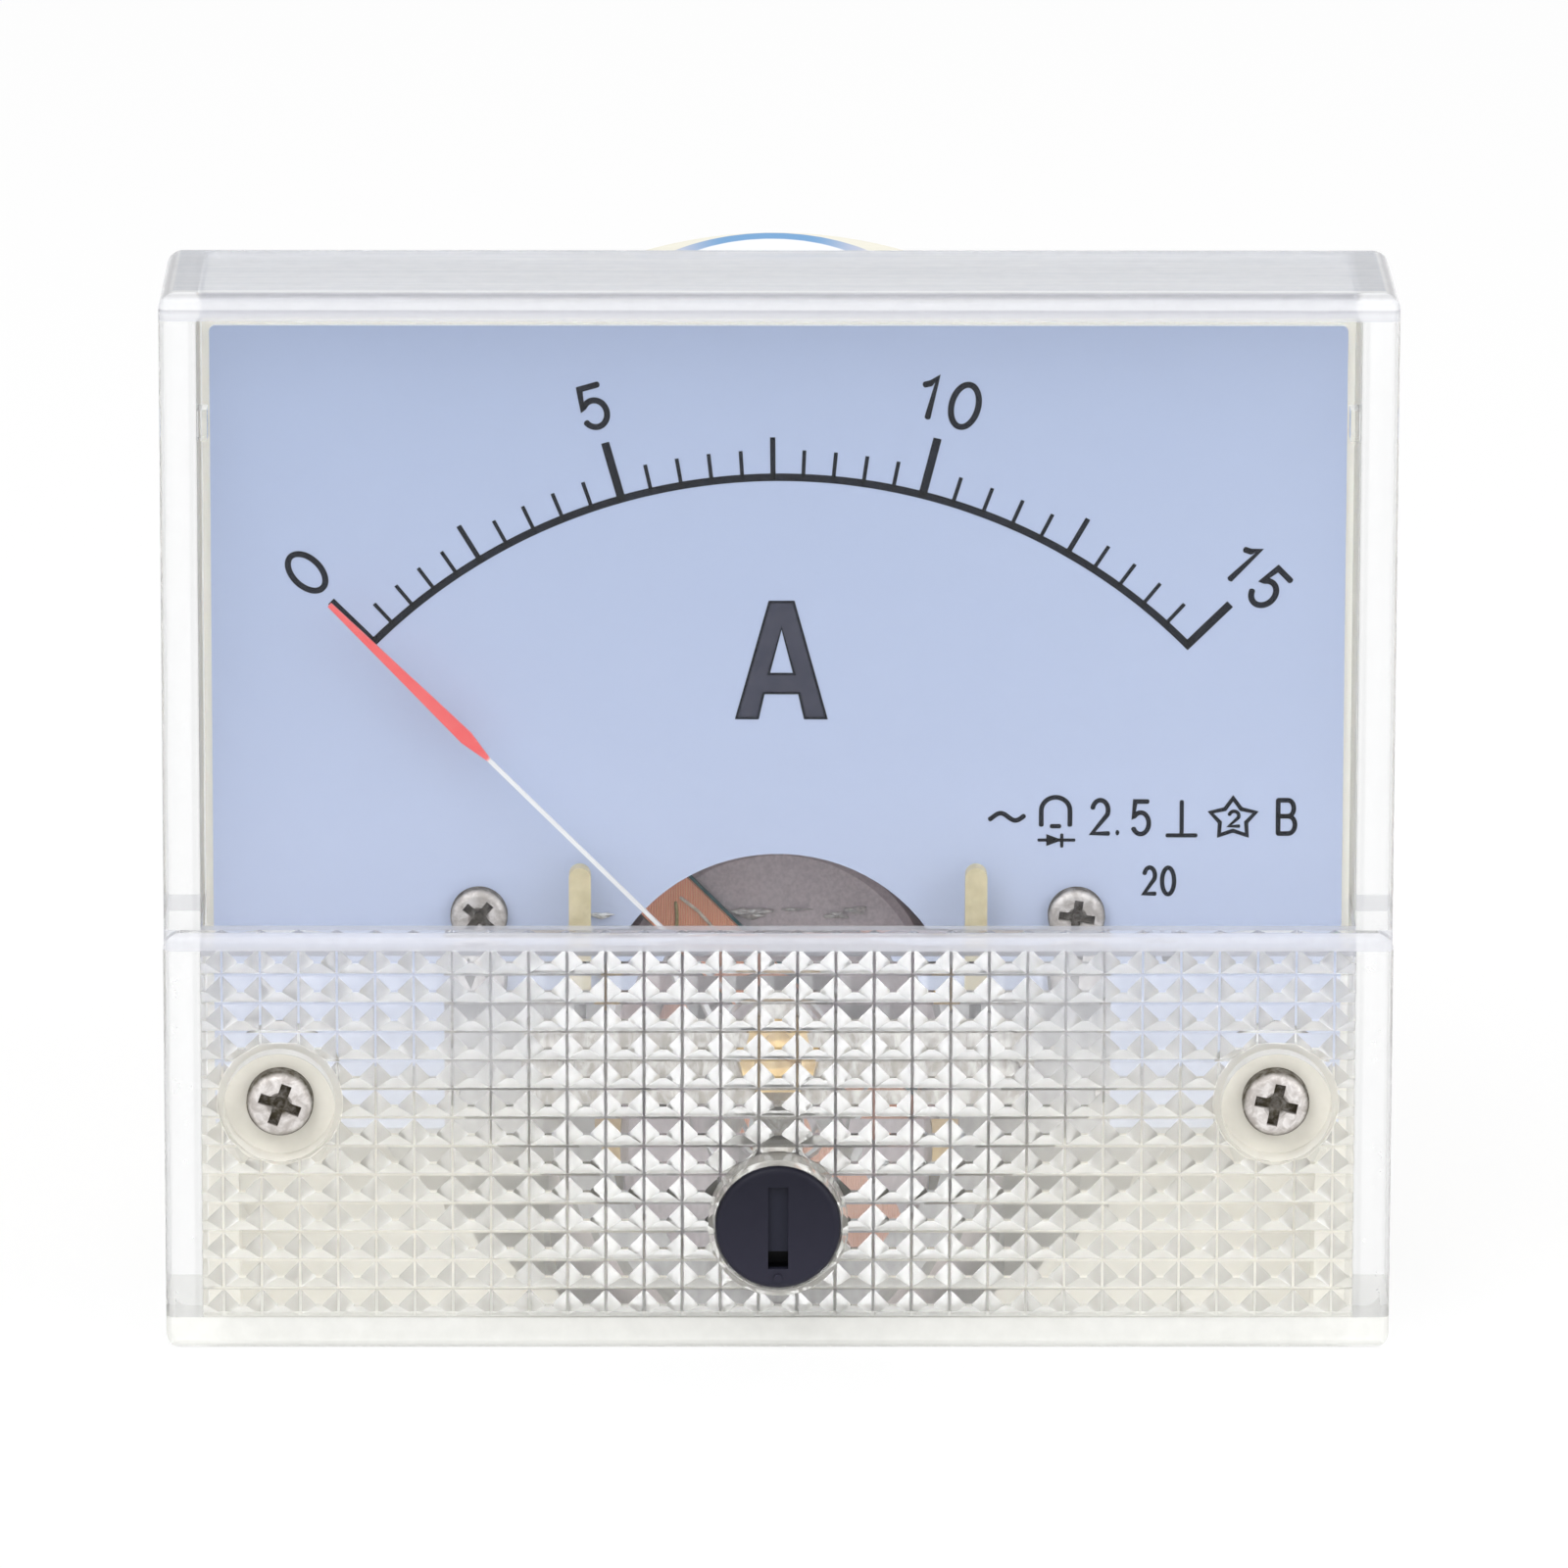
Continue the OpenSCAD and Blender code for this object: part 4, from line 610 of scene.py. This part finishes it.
def strokesOf(text):
    # Centre lines of one mark in a unit square centred on the origin.
    wave = np.linspace(0, 1, 40)
    fan = np.radians(90 + 36 * np.arange(11))
    star = np.where(np.arange(11) % 2 == 0, 0.5, 0.29)
    known = {
        "0": [bow((0, 0), (0.5, 0.5), 90, 450, 48)],
        "1": [np.array([(-0.5, 0.27), (0.0, 0.34), (0.46, 0.5), (0.46, -0.5)])],
        "2": [np.vstack([bow((0, 0.2), (0.47, 0.3), 168, -28), [(-0.49, -0.5), (0.5, -0.5)]])],
        "5": [np.vstack([[(0.42, 0.5), (-0.33, 0.5), (-0.42, 0.03)],
                         bow((0.0, -0.17), (0.48, 0.33), 138, -152, 30)])],
        "B": [np.array([(-0.5, -0.5), (-0.5, 0.5)]),
              np.vstack([[(-0.5, 0.5), (0.08, 0.5)], bow((0.08, 0.26), (0.34, 0.24), 90, -90, 14),
                         [(-0.5, 0.02)]]),
              np.vstack([[(-0.5, 0.02)], bow((0.1, -0.24), (0.4, 0.26), 90, -90, 14), [(-0.5, -0.5)]])],
        "~": [np.column_stack([wave - 0.5, 0.5 * np.sin(7.3 * wave - 0.75)])],
        ".": [np.array([(-0.01, 0), (0.01, 0)])],
        "coil": [np.vstack([[(-0.5, -0.5)], bow((0, 0.02), (0.5, 0.48), 180, 0, 24), [(0.5, -0.5)]])],
        "bar": [np.array([(-0.5, 0), (0.5, 0)])],
        "diode": [np.array([(-0.5, 0), (0.5, 0)]), np.array([(0.15, 0.42), (0.15, -0.5)]),
                  np.array([(-0.24, 0.3), (0.1, 0.0), (-0.24, -0.3), (-0.24, 0.3)]),
                  np.array([(-0.2, 0.12), (0.02, 0.0), (-0.2, -0.12)])],
        "right": [np.array([(0, 0.5), (0, -0.5)]), np.array([(-0.5, -0.5), (0.5, -0.5)])],
        "star": [np.column_stack([star * np.cos(fan), star * np.sin(fan)])],
    }
    return known[text]


def ribbon(line, width, rounded=True):
    # A flat strip along a line: each point is pushed both ways along the bisector of its corner,
    # and three narrowing stations round each end.
    line = np.asarray(line, float)
    closed = np.allclose(line[0], line[-1])
    step = np.diff(line, axis=0)
    step /= np.linalg.norm(step, axis=1, keepdims=True)
    before = np.vstack([step[-1:] if closed else step[:1], step])
    after = np.vstack([step, step[:1] if closed else step[-1:]])
    way = before + after
    way /= np.linalg.norm(way, axis=1, keepdims=True)
    side = np.column_stack([-way[:, 1], way[:, 0]])
    reach = np.minimum(1 / np.maximum((way * after).sum(1), 0.5), 1.6)[:, None] * width / 2
    if rounded and not closed:
        cap = np.array([1.0, 0.72, 0.38])[:, None] * width / 2 * 0.7
        thin = np.array([0.0, 0.62, 0.92])[:, None] * width / 2
        line = np.vstack([line[0] - step[0] * cap, line, (line[-1] + step[-1] * cap[::-1])])
        side = np.vstack([np.repeat(side[:1], 3, 0), side, np.repeat(side[-1:], 3, 0)])
        reach = np.vstack([thin, reach, thin[::-1]])
    edges = np.stack([line + side * reach, line - side * reach], 1)
    return edges.reshape(-1, 2)


def laid(flat, lift):
    # Places flat points, in millimetres from the pivot, on the dial's front.
    y = dialLow.y - lift * mm
    return np.column_stack([pivot.x + flat[:, 0] * mm, np.full(len(flat), y), pivot.z + flat[:, 1] * mm])


def stripQuads(count):
    # Quads of a strip whose points go left, right, left, right.
    first = 2 * np.arange(count // 2 - 1)
    return np.column_stack([first, first + 1, first + 3, first + 2])


def stamp(text, centre, size, width, turn=0.0):
    # The strips of one mark: scaled so that its ink fills the size, turned clockwise and moved.
    room = np.maximum(np.array(size) - width, 0.01)
    angle = math.radians(turn)
    spin = np.array([(math.cos(angle), -math.sin(angle)), (math.sin(angle), math.cos(angle))])
    return [ribbon(stroke * room, width) @ spin + np.array(centre) for stroke in strokesOf(text)]


def makeScale():
    # Point at radius r and angle a: centre + r * (sin a, cos a); angles run evenly between the fifths.
    look = scalePrint
    centre = np.array(look["centre"])
    steps = np.arange(5 * (len(look["fifths"]) - 1) + 1)
    angles = np.radians(np.interp(steps, steps[::5], look["fifths"]))
    spare = look["long"][1] / 2 / look["radius"]
    sweep = np.linspace(angles[0] - spare, angles[-1] + spare, 121)
    arc = look["radius"] * np.column_stack([np.sin(sweep), np.cos(sweep)])
    strips = [ribbon(centre + arc, look["line"], rounded=False)]
    for step, angle in zip(steps, angles):
        kind = "long" if step % 10 == 0 else "middle" if step % 5 == 0 else "short"
        reach, width = look[kind]
        way = np.array([math.sin(angle), math.cos(angle)])
        ends = np.array([[look["radius"] - 0.1], [look["radius"] + reach]])
        strips.append(ribbon(centre + way * ends, width, rounded=False))
    # The marks include two bars of painted shadow along the dial's cut-out.
    for text, x, z, height, width, line, turn in marks:
        strips += stamp(text, (x, z), (width, height), line, turn)
    return joined("scalePrint", [(laid(strip, look["lift"]), stripQuads(len(strip))) for strip in strips])


def makeUnitLetter():
    # The letter as flat faces between its outer corners and the inside of its head, and its darker edge.
    outer = np.array(unitLetter["outer"]) + unitLetter["centre"]
    head = np.array(unitLetter["head"]) + unitLetter["centre"]
    crown = (outer[:1] + outer[1:2]) / 2
    points = laid(np.vstack([outer, head, crown]), scalePrint["lift"])
    faces = [(0, 11, 8, 10), (0, 10, 6, 7), (11, 1, 9, 8), (1, 2, 3, 9), (10, 9, 4, 5), (5, 6, 10), (3, 4, 9)]
    piece = pieceOf("unitLetter", points, [face[::-1] for face in faces], False)
    rims = [ribbon(np.vstack([ring, ring[:1]]), unitLetter["edge"]) for ring in (outer, head)]
    above = scalePrint["lift"] + unitLetter["edgeLift"]
    edge = joined("unitLetterEdge", [(laid(rim, above), stripQuads(len(rim))) for rim in rims])
    return piece, edge


ink = makePlain("scaleInk", (12, 16, 26), (24, 29, 40), 0.6, 0.0008, 0.0, 2e-6,
                {"Specular IOR Level": 0.05})
letterInk = makePlain("letterInk", (60, 62, 77), (72, 73, 87), 0.6, 0.0006, 0.0, 2e-6,
                      {"Specular IOR Level": 0.05})
dress(makeScale(), ink, "case", "dial_blue")
letter, letterRim = makeUnitLetter()
dress(letter, letterInk, "case", "dial_blue")
dress(letterRim, ink, "case", "dial_blue")
print("dial print made")


smallBits = {
    # Solder before the core and by a stop: centre x, z from the pivot, half width, half height.
    "solder": [(-1.35, 4.8, 1.0, 0.3), (0.95, 5.0, 0.8, 0.08), (3.15, 4.66, 0.62, 0.18), (4.2, 4.95, 0.6, 0.2)],
    "atStop": [(-9.25, 6.3, 0.6, 0.16)],
    "front": 0.2, "thick": 0.14,  # y that the bits on the core are set by, half thickness
    # Lead wires on the coil's bar: points x and z from the pivot.
    "leads": [[(-5.15, 5.95), (-4.85, 5.72), (-4.2, 5.2), (-3.65, 4.6), (-3.1, 3.95)],
              [(-5.36, 5.72), (-5.28, 4.95), (-5.3, 4.1)]],
    "wire": 0.09,
}


def pebble(centre, half, turnBy):
    # Closed ball pressed flat to its half sizes; its radius wavers by sines of the angle round it.
    turn = np.linspace(0, 2 * np.pi, 32, endpoint=False)[None, :]
    tilt = np.linspace(np.pi / 2, -np.pi / 2, 13)[:, None]
    wave = 1 + 0.2 * np.sin(3 * turn + turnBy) + 0.12 * np.sin(7 * turn - 2 * turnBy) * np.cos(3 * tilt)
    x = centre[0] + half[0] * wave * np.cos(tilt) * np.cos(turn)
    y = centre[1] + half[1] * np.sin(tilt) * (1 + 0.3 * np.sin(4 * turn + turnBy))
    z = centre[2] + half[2] * wave * np.cos(tilt) * np.sin(turn)
    return np.stack([x, np.broadcast_to(y, x.shape), z], -1) * mm


def wireAlong(line, y, radius):
    # Tube along a smooth line in a plane: point at angle a is line + radius * (cos a * side + sin a * Y).
    line = np.asarray(line, float)
    at = np.linspace(0, len(line) - 1, 24)
    path = np.column_stack([np.interp(at, np.arange(len(line)), line[:, 0]),
                            np.interp(at, np.arange(len(line)), line[:, 1])])
    path[1:-1] = (path[:-2] + 2 * path[1:-1] + path[2:]) / 4
    way = np.gradient(path, axis=0)
    way /= np.linalg.norm(way, axis=1, keepdims=True)
    side = np.column_stack([-way[:, 1], way[:, 0]])
    ring = np.linspace(2 * np.pi, 0, 10, endpoint=False)
    size = radius * np.sqrt(np.clip(1 - np.linspace(-1, 1, 24) ** 16, 0, 1))[:, None]
    x = path[:, :1] + side[:, :1] * size * np.cos(ring)
    z = path[:, 1:] + side[:, 1:] * size * np.cos(ring)
    return np.stack([x * mm + pivot.x, y + size * np.sin(ring) * mm, z * mm + pivot.z], -1)


def makeSmallBits():
    look = smallBits
    base = np.array([pivot.x, 0.0, pivot.z]) / mm
    groups = {"solderBit": (look["solder"], look["front"] - look["thick"] / 2),
              "stopBit": (look["atStop"], dialLow.y / mm - look["thick"] * 0.45)}
    for name, (places, y) in groups.items():
        for count, (x, z, wide, tall) in enumerate(places):
            ball = pebble(base + (x, y, z), (wide, look["thick"], tall), 1.7 * count)
            dress(sheetOf(f"{name}_{count}", ball, closeV=True), solder, "case", "zinc_steel")
    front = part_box("coil_winding")[0].y - look["wire"] * 0.8 * mm
    for count, line in enumerate(look["leads"]):
        piece = sheetOf(f"coilLead_{count}", wireAlong(line, front, look["wire"]), closeV=True)
        dress(piece, leadWire if count == 0 else leadGreen, "movement", "copper")


solder = makePlain("solder", (232, 232, 230), (188, 188, 188), 0.3, 0.0003, 0.4, 2e-5)
leadWire = makePlain("leadWire", (236, 228, 216), (214, 202, 188), 0.4, 0.0004)
leadGreen = makePlain("leadGreen", (186, 176, 130), (160, 150, 108), 0.4, 0.0004)
makeSmallBits()
print("small bits made")


studThread = {"pitch": 0.5, "depth": 0.27, "around": 40, "perTurn": 8}
terminalThread = {"pitch": 0.7, "depth": 0.36, "around": 44, "perTurn": 8}


def threadedBar(name, look, axisPoint, stations, start, stop, radius):
    # Radius is a function of the angle and the way along: plain where the stations say,
    # and between start and stop crest - depth * wave(along / pitch - angle / turn), with the
    # crest drawn down near both ends.
    angle = np.linspace(2 * np.pi, 0, look["around"], endpoint=False)
    count = int((stop - start) / look["pitch"] * look["perTurn"])
    along = np.linspace(start, stop, count)
    turn = along[:, None] / look["pitch"] - angle[None, :] / (2 * np.pi)
    wave = np.clip(np.abs(2 * (turn - np.floor(turn)) - 1) * 1.35 - 0.15, 0, 1)
    chamfer = np.clip((stop - along) / look["depth"], 0, 1)[:, None]
    fade = np.clip((along - start) / (0.5 * look["pitch"]), 0, 1)[:, None]
    reach = radius - look["depth"] * np.maximum(wave * fade, 1 - chamfer)
    plain = np.array(stations, float)
    sides = plain[:, 2].astype(int)
    part = np.where(sides > 0, sides, 6)
    corner = np.pi / part[:, None]
    hexed = np.cos(corner) / np.cos(np.mod(angle[None, :], 2 * corner) - corner)
    shape = np.where(sides[:, None] > 0, hexed, 1.0) * plain[:, 1][:, None]
    y = np.concatenate([plain[:, 0], along, [stop]])
    r = np.vstack([shape, reach, np.zeros((1, len(angle)))])
    points = np.stack([axisPoint[0] + r * np.cos(angle) * mm, np.repeat(y[:, None], len(angle), 1) * mm,
                       axisPoint[1] + r * np.sin(angle) * mm], -1)
    return sheetOf(name, points, closeV=True)


def makeThreads():
    for side in ("left", "right"):
        low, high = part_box("mounting_stud_" + side)
        centre = ((low.x + high.x) / 2, (low.z + high.z) / 2)
        head = (high.z - low.z) / 2 / mm
        front, back = low.y / mm, high.y / mm
        stations = [(front, 0.0, 0), (front, head, 6), (front + 4.2, head, 6), (front + 4.2, 1.8, 0),
                    (0.0, 1.8, 0), (0.0, 1.5, 0)]
        stud = threadedBar("mountingThread_" + side, studThread, centre, stations, 0.02, back, 1.5)
        dress(stud, screwZinc, "case", "zinc_steel", "mounting_stud_" + side)
        low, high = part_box("terminal_stud_" + side)
        centre = ((low.x + high.x) / 2, (low.z + high.z) / 2)
        head = (high.z - low.z) / 2 / mm
        front, back = low.y / mm, high.y / mm
        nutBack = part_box("terminal_nut_" + side)[1].y / mm
        stations = [(front, 0.0, 0), (front, head, 6), (front + 1.8, head, 6), (front + 1.8, 2.0, 0),
                    (back - 15.0, 2.0, 0), (back - 15.0, 1.8, 0), (nutBack - 0.4, 1.8, 0)]
        stud = threadedBar("terminalThread_" + side, terminalThread, centre, stations, nutBack - 0.35,
                           back, 2.0)
        dress(stud, brass, "case", "brass", "terminal_stud_" + side)


makeThreads()
print("threads made")


studio = {"floor": 0.92, "shadow": 0.2, "world": 0.84, "key": 2.5, "fill": 1.4}


def makeFloor():
    # Pale floor: white where it is seen, and a share of its own shading keeps the shadow.
    span = 3.0
    y, x = np.meshgrid(np.linspace(-span, span, 13), np.linspace(-span, span, 13), indexing="ij")
    points = np.stack([x, y, np.full_like(x, coverLow.z - 0.02 * mm)], -1)
    floor = sheetOf("floor", points)
    finish = Finish("floorWhite", {"Roughness": 0.7, "Specular IOR Level": 0.1,
                                   "Base Color": (studio["floor"], studio["floor"], studio["floor"], 1)})
    glow = finish.node("ShaderNodeEmission", None, {"Color": (1, 1, 1, 1), "Strength": 1.0})
    seen = finish.node("ShaderNodeLightPath")
    bent = finish.node("ShaderNodeLightPath", output=6)
    shiny = finish.node("ShaderNodeLightPath", output=3)
    white = (1 - studio["shadow"]) * seen.high(bent).high(shiny)
    mix = finish.node("ShaderNodeMixShader", None,
                      {0: white, 1: Wire(finish, finish.shader.outputs[0]), 2: glow})
    finish.tree.links.new(mix.socket, finish.end.inputs[0])
    floor.data.materials.append(finish.material)


def makeWorld():
    # White where it is seen, directly, mirrored or through the clear cover; dimmer as a light.
    world = bpy.data.worlds.new("studio")
    bpy.context.scene.world = world
    world.use_nodes = True
    tree = world.node_tree
    tree.nodes.clear()
    out = tree.nodes.new("ShaderNodeOutputWorld")
    seen = tree.nodes.new("ShaderNodeLightPath")
    lights = []
    for strength in (studio["world"], 1.0):
        light = tree.nodes.new("ShaderNodeBackground")
        light.inputs["Color"].default_value = (1, 1, 1, 1)
        light.inputs["Strength"].default_value = strength
        lights.append(light)
    reach = seen.outputs["Is Camera Ray"]
    for kind in ("Is Transmission Ray", "Is Glossy Ray"):
        either = tree.nodes.new("ShaderNodeMath")
        either.operation = "MAXIMUM"
        tree.links.new(reach, either.inputs[0])
        tree.links.new(seen.outputs[kind], either.inputs[1])
        reach = either.outputs[0]
    mix = tree.nodes.new("ShaderNodeMixShader")
    tree.links.new(reach, mix.inputs[0])
    tree.links.new(lights[0].outputs[0], mix.inputs[1])
    tree.links.new(lights[1].outputs[0], mix.inputs[2])
    tree.links.new(mix.outputs[0], out.inputs[0])


def softbox(name, place, width, power):
    # A square lamp that faces the origin.
    lamp = bpy.data.lights.new(name, "AREA")
    lamp.shape = "RECTANGLE"
    lamp.size = width
    lamp.size_y = width
    lamp.energy = power
    holder = bpy.data.objects.new(name, lamp)
    holder.location = place
    holder.rotation_euler = (-Vector(place)).to_track_quat("-Z", "Y").to_euler()
    bpy.context.scene.collection.objects.link(holder)


view = {"distance": 0.700, "elevation": 13.13, "azimuth": 0.45, "roll": 0.12, "lens": 304.2,
        "target": (0.37, 0.0, 0.52)}


def makeCamera():
    target = Vector(view["target"]) * mm
    up, side = math.radians(view["elevation"]), math.radians(view["azimuth"])
    away = Vector((-math.sin(side) * math.cos(up), -math.cos(side) * math.cos(up), math.sin(up)))
    data = bpy.data.cameras.new("camera")
    data.lens = view["lens"]
    data.sensor_width = 36.0
    data.clip_start, data.clip_end = 0.01, 20.0
    camera = bpy.data.objects.new("camera", data)
    camera.location = target + away * view["distance"]
    level = (-away).to_track_quat("-Z", "Y")
    camera.rotation_euler = (level @ Quaternion((0, 0, 1), math.radians(view["roll"]))).to_euler()
    bpy.context.scene.collection.objects.link(camera)
    bpy.context.scene.camera = camera


makeFloor()
makeWorld()
softbox("key", (-0.25, -0.45, 0.55), 0.5, studio["key"])
softbox("fill", (0.5, -0.35, 0.3), 0.4, studio["fill"])
makeCamera()
bpy.context.scene.view_settings.view_transform = "Standard"
print("stage made")
